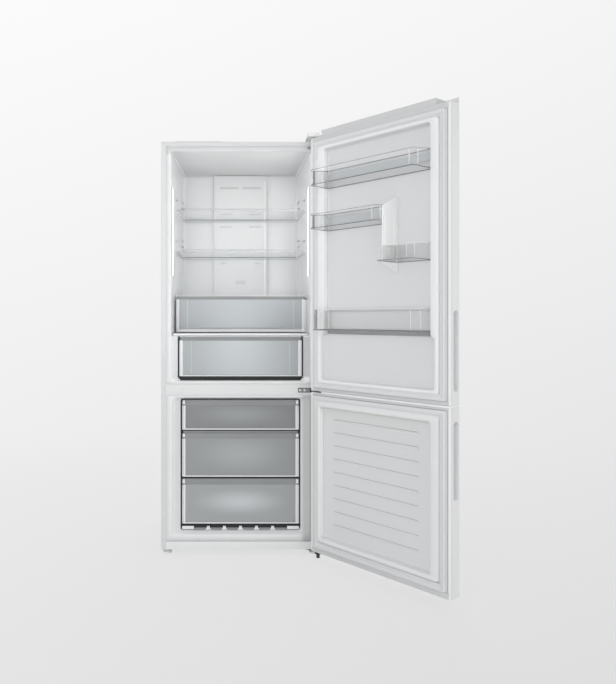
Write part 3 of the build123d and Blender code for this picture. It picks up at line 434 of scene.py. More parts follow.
# cabinet shell
def cabinetShell():
    # a bent sheet: flange, round edge, long side; the flange's top end is mitred with the top sheet's
    side, top, flange, bend = (cabinet[k] for k in ("side", "top", "flange", "bend"))
    t = np.linspace(0, pi / 2, 6)

    def profile(inwards):
        # (across from the outer face, depth) of one face of the sheet, outer or inner
        arc = bend - (bend - inwards) * np.stack([np.sin(t), np.cos(t)], 1)
        return np.concatenate([[(flange, inwards)], arc, [(inwards, cabinet["back"] - cabinet["front"])]])

    loop = np.concatenate([profile(0.0), profile(cabinet["sheet"])[::-1]])
    for name, s in (("left", -1), ("right", 1)):
        plan = loop * (-s, 1) + (s * side, 0)
        rings = [ringAt(z, plan, 2) for z in (cabinet["bottom"], top - loop[:, 0])]
        makePiece(f"{name}SidePanel", [inCabinet(rings)], whitePaint, f"side_panel_{name}")
    west = ringAt(top - loop[:, 0], loop - (side, 0), 2)
    makePiece("topPanel", [inCabinet([west, west * (-1, 1, 1)])], whitePaint, "top_panel")


rails = {
    "dividerRail": ("divider_trim", dividerWhite, (-329.0, -0.2, 704.4), (329.0, 2.0, 753.6)),
    "kickRail": ("kick_rail", kickWhite, (-329.0, -0.2, 25.4), (329.0, 2.0, 59.6)),
}


def crossRails():
    for name, (node, white, low, high) in rails.items():
        makePiece(name, [cabinetBlock(low, high, 1, 0.6, 0.6)], white, node)


# liners
fridgeLiner = {
    "mouth": 306.0, "draft": 0.036, "deep": 500.0, "top": 1781.5, "fall": 8.0, "ledge": 967.0,
    "bay": ((0, 28, 500), (304, 280, 275)), "floor": ((0, 28, 500), (766, 768, 773)), "chamfer": 14.0,
    "corner": ((0, 60), (8, 14)), "lip": 2.4, "backRound": 16.0, "wall": 0.8, "outer": (329.0, 754.4, 1803.6),
    "sections": (4, 10, 18, 26, 28, 30, 40, 100, 200, 340, 484),
}
freezerLiner = {
    "half": ((0, 30, 345), (299, 268, 264)), "floor": ((0, 30, 345), (90, 98, 100)),
    "top": ((0, 30, 345, 500), (697, 688, 685, 684)), "corner": ((0, 30), (20, 12)), "lip": 2.4,
    "lowDeep": 345.0, "deep": 500.0, "step": 322.0, "backHalf": 262.0, "wall": 0.8,
    "outer": (329.0, 60.4, 703.6), "sections": (4, 12, 20, 28, 30, 32, 60, 200, 335),
}


def roomHalf(d):
    # the side walls lean inwards with depth
    return fridgeLiner["mouth"] - fridgeLiner["draft"] * d


def roomTop(d):
    # the ceiling falls with depth
    return fridgeLiner["top"] - fridgeLiner["fall"] * d / fridgeLiner["deep"]


def onWall(s, block):
    # x counts inwards from the room's side wall: left for s = -1, right for s = 1
    block[..., 0] = s * (roomHalf(block[..., 1]) - block[..., 0])
    return inCabinet(block)


def fridgeSection(depth, inset):
    # ten corners: the lower bay with cut corners, the ledge, the room above; every corner with its radius
    f = fridgeLiner
    room, cut = roomHalf(depth) - inset, f["chamfer"]
    bay, floor = np.interp(depth, *f["bay"]) - inset, np.interp(depth, *f["floor"]) + inset
    ledge, top = f["ledge"] + inset, roomTop(depth) - inset
    corners = [(cut - bay, floor), (bay - cut, floor), (bay, floor + cut), (bay, ledge), (room, ledge),
               (room, top), (-room, top), (-room, ledge), (-bay, ledge), (-bay, floor + cut)]
    tight = min(3.0, max(room - bay, 0.5) * 0.45)
    deep = np.interp(depth, *f["corner"])
    return roundedOutline(corners, [5, 5, 5, tight, tight, deep, deep, tight, tight, 5])


def mouthRings(section, lip):
    # the front edge turned over by the lip
    return [ringAt(lip - d, section(0.0, i - lip)) for i, d in turnOver(lip, 6)[::-1]]


def makeFridgeLiner():
    # sections carried from the front flange round the mouth, along the walls and into the back panel
    f = fridgeLiner
    w, low, high = f["outer"]
    ledge, deep = f["ledge"], f["deep"]
    rim = [(-280, low), (280, low), (w, low), (w, ledge - 1), (w, ledge), (w, high), (-w, high), (-w, ledge),
           (-w, ledge - 1), (-w, low)]
    rings = [ringAt(0.0, roundedOutline(rim, 0.01)), *mouthRings(fridgeSection, f["lip"])]
    rings += [ringAt(d, fridgeSection(d, 0.0)) for d in f["sections"]]
    rings += [ringAt(deep - d, fridgeSection(deep - d, i)) for i, d in turnOver(f["backRound"], 7)[::-1]]
    makePiece("fridgeLiner", [inCabinet(rings, False, True)], linerWhite, "fridge_liner",
              wall=f["wall"], facing=(0, 0, 1300))


def makeFreezerLiner():
    # the mouth bevels in, then low walls and the step over the machine space
    f = freezerLiner
    w, low, high = f["outer"]

    def section(depth, inset):
        half, floor, top, corner = (np.interp(depth, *f[k]) for k in ("half", "floor", "top", "corner"))
        return rectOutline(inset - half, half - inset, floor + inset, top - inset, corner)

    rings = [ringAt(0.0, rectOutline(-w, w, low, high, 0.02)), *mouthRings(section, f["lip"])]
    rings += [ringAt(d, section(d, 0.0)) for d in f["sections"]]
    # above the step the walls run on; below it the section ends in the step's front
    d, half, deep, step = f["lowDeep"], f["backHalf"], f["deep"], f["step"]
    top = np.interp(d, *f["top"])
    for depth, floor, r, edge in ((d, 106, 12, 0), (d, step, 12, 0), (deep - 12, step, 12, 0),
                                  (deep - 3, step + 4, 8, 4), (deep, step + 12, 4, 12)):
        rings.append(ringAt(depth, rectOutline(edge - half, half - edge, floor, top - edge, r)))
    makePiece("freezerLiner", [inCabinet(rings, False, True)], freezerWhite, "freezer_liner",
              wall=f["wall"], facing=(0, 0, 450))


shelves = {
    "heights": (1544.0, 1354.0), "front": 157.0, "back": 478.0, "glass": 4.0, "crisper": 974.0,
    "crisperFront": 33.0,
    "lugs": ((168.0, 50.0, 44.0), (400.0, 46.0, 60.0), (400.0, 76.0, 60.0)), "lugSize": (8.0, 5.0),
}


def shelfGuides():
    # pads on the side walls: a long rib under each shelf and short lugs above it; the lugs' grey is painted
    # shade of their undersides
    shells, lugs = [], []
    reach, high = shelves["lugSize"]
    for z in shelves["heights"]:
        for s in (-1, 1):
            low, top = (-1.0, shelves["front"] + 14, z - 7), (8.0, shelves["back"], z - 0.2)
            shells.append(onWall(s, roundedBlock(low, top, 0, 3.0, 2.0)))
            for d, up, long in shelves["lugs"]:
                low, top = (-1.0, d - long / 2, z + up - high / 2), (reach, d + long / 2, z + up + high / 2)
                lug = roundedBlock(low, top, 0, 3.0, 2.0)
                lug[..., 0] *= np.clip((lug[..., 1] - d + long / 2) / long, 0.15, 1)
                lugs.append(onWall(s, lug))
    makePiece("shelfGuides", shells, linerWhite)
    makePiece("shelfLugs", lugs, lugGrey)


def roomPane(front, z, gap):
    # a pane whose half width is the room's less a gap, so that it narrows with depth
    pane = roundedBlock((-1.0, front, z), (1.0, shelves["back"] - 6, z + shelves["glass"]), 2, 0.9, 0.8)
    pane[..., 0] *= roomHalf(pane[..., 1]) - gap
    return inCabinet(pane)


def glassShelves():
    # panes narrowing with the room, a clear front trim with a fine line on top, and at the back a light rail
    # and a dark line along the back edge, painted shade
    panes, trims, edges, rails, backShadeLines = [], [], [], [], []
    front, back = shelves["front"], shelves["back"]
    for z in shelves["heights"]:
        panes.append(roomPane(front + 6, z, 4.0))
        half = roomHalf(front) - 5
        trims.append(cabinetBlock((-half, front, z - 3), (half, front + 6, z + 6), 0, 2.6, 2.0))
        low, high = (-half + 20, front + 0.2, z + 6), (half - 20, front + 5, z + 8.4)
        edges.append(cabinetBlock(low, high, 0, 1.0, 0.8))
        half = roomHalf(back) - 5
        for low, high, kind in ((-1.6, 1.2, backShadeLines), (-11.0, -8.6, rails)):
            kind.append(cabinetBlock((-half, back - 5, z + low), (half, back - 0.4, z + high), 0, 1.0, 0.8))
        for s in (-1, 1):
            # a dark line along the pane's side edge: painted shade
            side = roundedBlock((-0.8, front + 46, z - 0.6), (0.8, back - 90, z + 2.0), 1, 0.6, 0.5)
            side[..., 0] += s * (roomHalf(side[..., 1]) - 5.0)
            edges.append(inCabinet(side))
    crisper = roomPane(shelves["crisperFront"], shelves["crisper"], 3.0)
    for name, shells, node in (("shelfPanes", panes, "glass_shelves"),
                               ("crisperPane", [crisper], "crisper_glass_shelf")):
        makePiece(name, shells, shelfGlass, node, sharp=25)
    # the bar on the crisper pane's front edge, with a slim ridge
    half, front, z = roomHalf(shelves["crisperFront"]) - 4, shelves["crisperFront"], shelves["crisper"]
    trimBlocks = [cabinetBlock((-half, front - 8, z - 7), (half, front, z + 4), 0, 4.6, 3.0),
                  cabinetBlock((6 - half, front - 9.2, z - 1), (half - 6, front - 7, z + 1), 0, 0.9, 0.8)]
    for name, shells, look, node in (
            ("shelfTrims", trims, shelfTrimClear, "shelf_trims"), ("shelfEdges", edges, lineGrey, None),
            ("shelfRails", rails, frontLight, None), ("shelfBackEdges", backShadeLines, edgeGrey, None),
            ("crisperTrim", trimBlocks, trimWhite, None)):
        makePiece(name, shells, look, node)


roomSeams = {"d": (466.0, 472.0), "z": (1010.0, 1752.0), "proud": 4.6, "ceiling": (24.0, 478.0), "round": 2.6,
             "duct": (120.5, 128.0), "ductZ": (990, 1742), "edgeZ": (984, 1760), "corner": 14.5}


def backSeams():
    # slim raised beads up the back corners and beads that taper at both ends along the ceiling's corners, in
    # bright
    # white: painted highlight for the light caught on the rounded corners; on the duct cover a bright bead
    # and fine dark edge lines
    (d0, d1), (z0, z1), r = roomSeams["d"], roomSeams["z"], roomSeams["round"]
    front, half = duct["front"], duct["half"]
    shells = []
    # the bead under the ceiling: its centre is corner - r (1 - cos 45) from wall and ceiling, carried along d
    run = np.linspace(*roomSeams["ceiling"], 8)
    d = np.array([run[0], *run, run[-1]])[:, None]
    size = np.array([0.05, *np.linspace(r, r * 1.6, 8), 0.05])[:, None]
    t = np.linspace(0, 2 * pi, 14, endpoint=False)
    tuck = roomSeams["corner"] * (1 - cos(pi / 4))
    for s in (-1, 1):
        shells.append(onWall(s, roundedBlock((-1.0, d0, z0), (roomSeams["proud"], d1, z1), 2, 1.4, 1.4)))
        x, z = s * (roomHalf(d) - tuck + size * np.cos(t)), roomTop(d) - tuck + size * np.sin(t)
        shells.append(inCabinet(np.stack([x, d + 0 * x, z], -1)))
    makePiece("backSeams", shells, beadWhite)
    (x0, x1), (z0, z1) = roomSeams["duct"], roomSeams["ductZ"]
    # painted highlight: a bright bead down the duct cover's right side
    makePiece("ductBead", [cabinetBlock((x0, front - 2.4, z0), (x1, front + 1, z1), 2, 1.2, 1.2)], beadWhite)
    # painted shade: fine dark lines along both edges of the duct cover, whose own shadow is turned off
    z0, z1 = roomSeams["edgeZ"]
    edges = [cabinetBlock((x, front - 0.6, z0), (x + 1.6, front + 6, z1), 2, 0.6, 0.6)
             for x in (-half - 1.0, half - 0.6)]
    makePiece("ductEdges", edges, lugGrey)


cabinetShell()
crossRails()
makeFridgeLiner()
makeFreezerLiner()
shelfGuides()
glassShelves()
print("cabinet and shelves ready")


# lamps
lamps = {"depth": (24.0, 78.0), "z": (1234.0, 1638.0), "proud": 1.0}


def lampStrips():
    # a low lens with a rounded tapering top end, in a thin frame
    (d0, d1), (z0, z1) = lamps["depth"], lamps["z"]
    flat = roundedOutline([(d0, z0), (d1, z0), (d1, z1 - 12), (d0, z1)], [3, 3, 5, 5])
    toCentre = flat.mean(0) - flat
    toCentre = toCentre / np.abs(toCentre).max(0)
    lens = [ringAt(lamps["proud"] - h, flat + toCentre * i, 0) for i, h in turnOver(1.4)[::-1]]
    lens.insert(0, lens[0] * (0, 1, 1) + (-0.5, 0, 0))
    sides = []
    for s, side, glow in ((-1, "left", lampGlows[0]), (1, "right", lampGlows[1])):
        makePiece(f"{side}LampLens", [onWall(s, np.array(lens))], glow, "light_strips")
        for e0, e1 in ((d0 - 9, d0 - 1), (d1 + 1, d1 + 8)):
            sides.append(onWall(s, roundedBlock((-0.5, e0, z0 - 3), (1.6, e1, z1 - 4), 0, 2.0, 0.8)))
    makePiece("lampFrames", sides, lineGrey)


# air duct
duct = {
    "half": 137.0, "front": 480.0, "z": (981.0, 1769.5),
    "slots": ((56.0, 95.0, 1707.0, 9.0), (74.0, 60.0, 1573.0, 6.0), (74.0, 60.0, 1509.0, 6.0),
              (89.0, 30.0, 1323.0, 6.0)),
    "grille": (44.0, 1226.0, 12.0, 3), "hole": ((0.0, 479.8), (0.0, 481.0)),
    "collar": ((1.6, 480.2), (1.5, 479.3), (0.9, 478.9), (0.2, 479.3), (0.0, 480.4)),
    "grilleCollar": ((2.2, 480.2), (2.0, 478.8), (1.2, 478.4), (0.2, 478.8), (0.0, 480.4)),
}


def ductCover():
    # a raised panel; each outlet is a stadium collar round a dark recess
    z0, z1 = duct["z"]
    panel = cabinetBlock((-duct["half"], duct["front"], z0), (duct["half"], 499.5, z1), 1, 4.0, 2.5)
    cover = makePiece("ductPanel", [panel], ductWhite, "air_duct_cover")
    cover.visible_shadow = False

    def around(x, z, long, high, steps, corner=None):
        # outlines round an outlet, each grown by a step's first number at its depth
        return [ringAt(d, rectOutline(x - long / 2 - grow, x + long / 2 + grow, z - high / 2 - grow,
                                      z + high / 2 + grow, corner or high / 2 + grow)) for grow, d in steps]

    collars, recesses = [], []
    for x, long, z, high in duct["slots"]:
        for s in (-1, 1):
            collars.append(inCabinet(around(s * x, z, long, high, duct["collar"]), False, False))
            recesses.append(inCabinet(around(s * x, z, long, high, duct["hole"])))
    makePiece("ductCollars", collars, ductWhite, facing=(0, -400, 1400))
    makePiece("ductOutlets", recesses, capGrey)
    long, z, high, bars = duct["grille"]
    sensor = [inCabinet(around(0.0, z, long, high, duct["grilleCollar"], 3), False, False)]
    for k in range(bars):
        zk = z + (k - (bars - 1) / 2) * 4
        sensor.append(cabinetBlock((-long / 2, 478.9, zk - 0.9), (long / 2, 480.4, zk + 0.9), 0, 0.7, 0.5))
    makePiece("sensorGrille", sensor, capGrey)


lampStrips()
ductCover()
backSeams()
print("lamps and duct ready")


# drawers
fridgeDrawer = dict(front=chillerFront, tub=drawerTint, band=bandGrey, lines=True)
freezerDrawer = dict(half=(262.0, 256.0), d=(50.0, 418.0), strip=16.0, lip=7.0, tub=freezerTint,
                     band=bandDark, lines=False)
drawers = {
    "chillerDrawer": dict(fridgeDrawer, node="chiller_drawer", half=(293.0, 284.0), d=(100.0, 466.0),
                          z=(981.0, 1148.0), strip=14.0, lip=15.0, rim=18.0, mark=0.45),
    "crisperDrawer": dict(fridgeDrawer, node="crisper_drawer", half=(273.0, 268.0), d=(35.0, 440.0),
                          z=(786.0, 965.0), strip=16.0, lip=6.0, rim=20.0, mark=0.46),
    "upperFreezerDrawer": dict(freezerDrawer, node="freezer_drawer_top", z=(545.0, 680.0), rim=26.0,
                               front=freezerFronts[0]),
    "middleFreezerDrawer": dict(freezerDrawer, node="freezer_drawer_middle", z=(334.0, 530.0), rim=24.0,
                                front=freezerFronts[1]),
    "lowerFreezerDrawer": dict(freezerDrawer, node="freezer_drawer_bottom", d=(50.0, 330.0),
                               z=(124.0, 326.0), rim=27.0, front=freezerFronts[2]),
}
tub = {"wall": 2.5, "corner": 12.0, "flare": 2.0, "edge": 5.0}


def tubRings(h0, h1, d0, d1, z0, z1):
    # plan outlines carried up the outside, over the rim and down the inside
    wall, corner, flare, edge = tub.values()
    stack = [(i + 3.0, z0 + u) for i, u in turnOver(edge)]
    stack += [(0.4, z1 - 8.0), (-flare, z1 - 4.0), (-flare, z1 - 1.0), (0.6, z1), (wall - 0.6, z1),
              (wall, z1 - 0.8), (wall + 2.6, z0 + wall + edge)]
    stack += [(i + 3.0 + wall, z0 + wall + u) for i, u in turnOver(edge)[::-1]]
    return [ringAt(z, roundedOutline([(i - h0, d0 + i), (h0 - i, d0 + i), (h1 - i, d1 - i), (i - h1, d1 - i)],
                                     max(corner - i, 0.5)), 2) for i, z in stack]


def makeDrawer(name, spec):
    (h0, h1), (d0, d1), (z0, z1) = spec["half"], spec["d"], spec["z"]
    fridge, lip = spec["lines"], z0 + spec["lip"]
    deepLip = spec["lip"] > 10
    rimTop, inner = z1 - spec["rim"], h0 - spec["strip"]

    def piece(end, shells, look, slotName="drawer_clear", node=None):
        makePiece(name + end, shells, look, node, spec["node"])

    piece("Tub", [inCabinet(tubRings(h0 - 3, h1, d0 + 4.5, d1, z0 + 3, z1 - 3))], spec["tub"],
          node=spec["node"])
    piece("Front", [cabinetBlock((-inner, d0 + 0.5, lip), (inner, d0 + 4.4, rimTop), 1, 3.0, 1.2)],
          spec["front"])
    # a grip channel along the top of the front, in a dark band of painted shade
    low, high = (4 - h0, d0 + 1.2, rimTop - 0.5), (h0 - 4, d0 + 4.4, z1 - (2.5 if fridge else 0.3))
    piece("Channel", [cabinetBlock(low, high, 1, 2.0, 1.0)], spec["band"])
    trims = []
    top = rimTop + 2 if fridge else rimTop
    for s in (-1, 1):
        # a slim outer bead beside a broad rounded one
        for x0, x1, proud, r in ((h0 - 4.6, h0, 0.0, 2.0), (inner + 0.3, h0 - 5.0, -0.6, 3.6)):
            low, high = sorted((s * x0, s * x1))
            trims.append(cabinetBlock((low, d0 + proud, z0), (high, d0 + 7, top), 1, r, 2.2))
    lipBar = cabinetBlock((2 - h0, d0 - 0.4, z0), (h0 - 2, d0 + 6, lip - 1), 0, 2.0, 1.5)
    if deepLip:
        piece("Lip", [lipBar], lipWhite, "trim_white")
    else:
        trims.append(lipBar)
    if fridge:
        trims.append(cabinetBlock((1 - h0, d0 + 0.6, z1 - 3.0), (h0 - 1, d0 + 6, z1), 0, 1.4, 1.2))
        lines = [cabinetBlock((x - 1.2, d0 + 0.1, z0 + 12), (x + 1.2, d0 + 1.0, rimTop - 4), 1, 1.1, 0.4)
                 for x in (38 - inner, inner - 38)]
        # a faint grip mark and, over a deep lip, a fine groove drawn as a dark strip: painted shade
        mark = rimTop + (z0 - rimTop) * spec["mark"]
        lines.append(cabinetBlock((-50.0, d0 + 0.1, mark - 1.2), (5.0, d0 + 1.0, mark + 1.2), 1, 1.0, 0.4))
        if deepLip:
            groove = cabinetBlock((-180.0, d0 + 0.2, lip + 3), (194.0, d0 + 1.0, lip + 6), 1, 1.4, 0.4)
            piece("Groove", [groove], lineGrey)
        piece("Lines", lines, frontLight)
    else:
        for s in (-1, 1):
            x0, x1 = sorted((s * (inner + 1), s * (h0 - 1)))
            trims.append(cabinetBlock((x0, d0 + 1, rimTop + 3), (x1, d0 + 14, z1 - 1), 1, 5.0, 3.0))
    piece("Trims", trims, trimWhite, "trim_white")


# strips in the air gaps beside, under and between the drawers, so far back that the gaps stay open in front;
# the black and dark grey ones are painted shade for the dark deep in the gaps, chillerRight's is white:
# finish, x, d and z of each
gapStrips = {
    "bayFloor": (gapBlack, (-273, 273), (37, 44), (768.4, 786.0)),
    "bayLeft": (gapBlack, (-278.5, -274), (46, 52), (784, 955)),
    "bayRight": (gapBlack, (274, 278.5), (46, 52), (784, 955)),
    "chillerLeft": (bandDark, (-300, -294), (118, 124), (985, 1126)),
    "chillerRight": (trimWhite, (294, 301.4), (108, 114), (980, 1130)),
    "freezerUpper": (bandDark, (-258, 258), (52, 58), (531, 543)),
    "freezerLower": (gapBlack, (-262, 262), (55, 59), (118.6, 123.6)),
    "freezerLeft": (gapBlack, (-266.5, -262.5), (56, 60), (124, 684)),
    "freezerRight": (gapBlack, (262.5, 266.5), (56, 60), (124, 684)),
    "freezerMiddle": (gapBlack, (-260, 260), (54, 58), (326.5, 333.5)),
    "freezerUpperLine": (gapBlack, (-258, 258), (50.5, 53), (539, 542)),
}


def airGaps():
    for name, (look, (x0, x1), (d0, d1), (z0, z1)) in gapStrips.items():
        strip = cabinetBlock((x0, d0, z0), (x1, d1, z1), 1, 1.0, 0.8)
        makePiece(f"{name}Gap", [strip], look)


bayPlate = {"section": ((303.2, 1.0), (280.6, 27.4), (280.1, 27.0), (302.7, 0.6)), "z": (786.0, 962.0)}


def bayShade():
    # a thin greyer plate on the bay's right bevel, painted shade: its section carried straight up
    rings = [ringAt(z, bayPlate["section"], 2) for z in bayPlate["z"]]
    makePiece("bayShade", [inCabinet(rings)], frontLight)


for drawerName, drawerSpec in drawers.items():
    makeDrawer(drawerName, drawerSpec)
bayShade()
airGaps()
print("drawers ready")


# freezer inside
grille = {"half": 262.0, "z": (98.6, 119.0), "d": (42.0, 50.0), "slot": 208.0, "pillars": 5, "pitch": 72.0,
          "pillar": (6.0, 7.0)}


def airGrille():
    # a bar with white end blocks and pillars in front of a black block, painted shade of the slot
    (z0, z1), (d0, d1), slot, half = (grille[k] for k in ("z", "d", "slot", "half"))
    blocks = []
    for s in (-1, 1):
        x0, x1 = sorted((s * (slot + 0.5), s * half))
        blocks.append(cabinetBlock((x0, d0, z0 + 2), (x1, d1, z1 - 4), 1, 3.0, 2.4))
    # a pillar spreading towards its foot: half width = top + spread t^2, t falling from 1 at the foot
    t, (top, spread) = np.linspace(1, 0, 8), grille["pillar"]
    square = rectOutline(-1, 1, -1, 1, 0.4)
    for k in range(grille["pillars"]):
        x = (k - (grille["pillars"] - 1) / 2) * grille["pitch"]
        plans = [square * (top + spread * q * q, (d1 - d0) / 2) + (x, (d0 + d1) / 2) for q in t]
        blocks.append(inCabinet([ringAt(z1 - 4 - (z1 - z0 - 5) * q, plan, 2) for q, plan in zip(t, plans)]))
    makePiece("grilleBlocks", blocks, trimWhite, "freezer_air_grille")
    back = cabinetBlock((2 - half, d1 - 2, z0 + 1), (half - 2, d1 + 2, z1 + 2), 1, 3.0, 1.0)
    makePiece("grilleSlot", [back], gapBlack)
    sill = cabinetBlock((-slot, d0 + 1.5, z0), (slot, d1, z0 + 9), 0, 2.0, 1.5)
    makePiece("grilleSill", [sill], bandGrey)


airGrille()

# the CAD nodes kept as they are, each with its finish and how far its sharp edges are eased
nodeFinish = {
    "freezer_shelves": (shelfGlass, 0.0), "evaporator_cover": (ductWhite, 1.0),
    "evaporator": (coolerAluminium, 0.0), "fan_motor": (plasticBlack, 0.8), "fan_blade": (plasticBlack, 0.5),
    "defrost_heater": (coolerAluminium, 0.0), "rear_panel": (zincSteel, 0.4), "base_plate": (zincSteel, 0.5),
    "cabinet_insulation": (foamCream, 0.0), "fridge_door_insulation": (foamCream, 0.0),
    "freezer_door_insulation": (foamCream, 0.0), "compressor": (blackEnamel, 1.5),
    "compressor_grommets": (blackRubber, 0.8), "condenser": (blackEnamel, 0.0),
    "drip_tray": (plasticBlack, 1.0), "refrigerant_pipes": (pipeCopper, 0.0),
    "control_box_cover": (trimWhite, 1.5), "power_inlet": (plasticBlack, 0.6),
    "top_hinge_bracket": (trimWhite, 0.5), "top_hinge_cover": (trimWhite, 1.2),
    "middle_hinge_bracket": (hingeDark, 0.5), "bottom_hinge_bracket": (hingeDark, 0.5),
    "hinge_screws": (boltSteel, 0.3), "blanking_caps": (dividerWhite, 0.5), "rear_feet": (footGrey, 0.8),
    "levelling_foot_left": (footGrey, 0.8), "levelling_foot_right": (footGrey, 0.8),
    "fridge_door_skin": (doorPaint, 0.0), "freezer_door_skin": (doorPaint, 0.0),
    "fridge_door_caps": (capGrey, 1.0), "freezer_door_caps": (capGrey, 1.0),
}
for nodeName, nodeRow in nodeFinish.items():
    finishNode(nodeName, *nodeRow)


# small fittings: finish, slot, body, and a block's lowest and highest corner, axis, corner and edge radius
fittings = {
    # a fine dark line along the top sheet's front edge, painted shadow; the closing plate under the hollow
    # hinge cover, in a brighter white than the cover to offset the shade under it: painted light
    "topShadowLine": (lugGrey, None, "cabinet", (-286, 1.0, 1825.1), (-84, 3.0, 1826.0), 0, 0.4, 0.3),
    "hingeCoverPlate": (beadWhite, None, "cabinet", (294, -62, 1829.6), (339, 76, 1831.0), 2, 6.0, 0.4),
    # a lighter grey face over the dark middle hinge bracket, leaving it as a dark outline: painted light on
    # the bracket's front face
    "middleHingeFace": (hingeGrey, None, "cabinet", (256.0, -4.5, 720.0), (306.0, -3.9, 736.0), 1, 2.0, 0.2),
    # a grey patch with a darker core on the flange's top right corner
    "flangeCornerMark": (frontLight, None, "cabinet", (289.0, -0.5, 1788.0), (312.0, 0.4, 1810.0), 1, 5.0, 0.4),
    "flangeCornerMarkCore": (hingeGrey, None, "cabinet", (296.0, -0.7, 1791.0), (308.0, -0.2, 1803.0), 1, 5.0, 0.2),
    # on the doors: a white block beside the top bin, a dark grey strip under the bottle bin that is painted
    # shade of the liner's step, and the pale strip along the lower door's top, seen in the gap between the
    # doors
    "hingeSideWhiteBlock": (trimWhite, None, "fridge_door", (36.0, -1.0, 1691.0), (55.0, 10.0, 1726.0), 1, 4.0, 2.0),
    "bottleBinShadeStrip": (bandGrey, None, "fridge_door", (84.0, -19.5, 979.5), (613.0, -13.0, 993.5), 0, 3.0, 2.0),
    "freezerDoorTop": (beadWhite, "cap_grey", "freezer_door", (62, -58, 724.6), (694, 0.9, 731.2), 2, 0.8,
                       0.6),
}
coverRibs = {"x": (291.0, 316.0), "d": (-20.0, 24.0), "wide": 2.0, "z": (1829.2, 1829.7)}


def smallFittings():
    for name, (look, slotName, body, *block) in fittings.items():
        shell = cabinetBlock(*block) if body == "cabinet" else doorBlock(*block)
        makePiece(name, [shell], look, body=body)
    (x0, x1), (z0, z1) = coverRibs["x"], coverRibs["z"]
    fine = [cabinetBlock((x0, d, z0), (x1, d + coverRibs["wide"], z1), 0, 0.2, 0.1) for d in coverRibs["d"]]
    makePiece("hingeCoverRibs", fine, lugGrey)


smallFittings()
print("machine space and fittings ready")


# door liners
dyke = {"foot": 45.0, "crest": (47.0, 80.0), "high": 10.0, "deep": 20.0, "slope": 3.5, "turn": 12.0,
        "arch": 2.2}
# below: how far in the well starts under the fridge door's step, or along the freezer door's hinge edge;
# arch: how far in the crest's arch ends there
linerSpecs = {
    "fridge": dict(base=(769.0, 1778.0), crest=(771.0, 1776.0), well=(782.0, 1764.0), step=(970.0, 985.0),
                   below=63.0, arch=60.0, white=doorLinerWhite),
    "freezer": dict(base=(89.0, 694.0), crest=(91.0, 682.0), well=(108.0, 668.0), step=None, below=57.0,
                    arch=55.0, white=freezerDoorWhite),
}


def doorRing(corners, radii, n):
    return ringAt(n, roundedOutline(corners, radii, 7))


def boxRing(a0, a1, z0, z1, r, n):
    return doorRing([(a0, z0), (a1, z0), (a1, z1), (a0, z1)], r, n)


def doorLiner(which):
    # outlines from the turned edge over the flange, up the raised frame and down into the well
    spec = linerSpecs[which]
    z0, z1, _ = doorHeights[which]
    far, turn, high, deep = 2 * door["half"], dyke["turn"], dyke["high"], dyke["deep"]

    def ring(a, low, top, n, r=0.02, below=None, soft=0.0, shrink=0.0):
        # a is how far in the outline is; below is that on the hinge edge, or under the step, where it differs
        b = a if below is None else below
        if spec["step"] is None:
            return boxRing(b, far - a, low, top, r, n)
        mid0, mid1 = spec["step"][0] - shrink, spec["step"][1] - shrink
        return doorRing([(b, low), (far - b, low), (far - b, mid0), (far - a, mid1), (far - a, top), (a, top),
                         (a, mid1), (b, mid0)], [r, r, soft, soft, r, r, soft, soft], n)

    def wellRing(s, n, r=12.0):
        # the well's outline s further in than at the crest
        low, top = spec["well"]
        return ring(dyke["crest"][1] + s, low + s, top - s, n, r, spec["below"] + s, 5.0, 0.4 * s)

    rings = [ring(0.6, z0 + 0.6, z1 - 0.6, -8.0), ring(0.0, z0, z1, -7.0)]
    rings += [ring(i, z0 + i, z1 - i, -d, 0.5) for i, d in turnOver(2.4)[::-1]]
    (base0, base1), (crest0, crest1), (well0, well1) = spec["base"], spec["crest"], spec["well"]
    foot, crest = dyke["foot"], dyke["crest"][0]
    rings += [ring(foot - out, base0 - out, base1 + out, n, turn + more)
              for out, n, more in ((4, 0.0, 4), (1.5, 0.3, 1), (0, 1.2, 0))]
    for t in np.linspace(0, 1, 6):
        # up the outer side, then round onto the crest
        s = t * t
        rings.append(ring(foot + (crest - foot) * (0.4 * t + 1.6 * s), base0 + (crest0 - base0 + 1.5) * s,
                          base1 + (crest1 - base1 - 1.5) * s, 1.2 + (high - 1.2) * sin(t * pi / 2), turn))
    # the crest is a low arch: n = high + rise * (1 - (2 t - 1)^2) across its width
    start, end = [np.array(k) for k in ((crest + 1.2, crest + 1.2, crest0 + 1.5, crest1 - 1.5),
                                        (dyke["crest"][1] - 3.0, spec["arch"], well0 - 3.0, well1 + 3.0))]
    for t in (0.15, 0.32, 0.5, 0.68, 0.85):
        a, below, low, top = start + (end - start) * t
        rings.append(ring(a, low, top, high + dyke["arch"] * (1 - (2 * t - 1) ** 2), turn, below, 4 * t))
    t = np.linspace(0, pi / 2, 6)
    edge, cove, slope = 2.5, 7.0, dyke["slope"]
    rings += [wellRing(edge * (sin(k) - 1), high - edge * (1 - cos(k)), 14.0) for k in t]
    rings += [wellRing(slope + cove * (1 - cos(k)), cove * (1 - sin(k)) - deep) for k in t]
    low = well0 if spec["step"] is None else spec["step"][1] + 8
    a = spec["below"] if spec["step"] is None else dyke["crest"][1]
    # painted highlight: a bright white bead along the well's hinge-side edge
    gleam = doorBlock((a - 0.6, 6 - deep, low + 6), (a + 3.2, high - 0.5, well1 - 8), 2, 1.2, 3.0)
    makePiece(f"{which}DykeBead", [gleam], beadWhite, body=f"{which}_door")
    middle = doorPoint(np.array([far / 2, 400.0, (z0 + z1) / 2])) / mm
    makePiece(f"{which}DoorLiner", [onDoor(rings, False, True)], spec["white"],
              f"{which}_door_liner", f"{which}_door", wall=1.4, facing=tuple(middle), sharp=50)


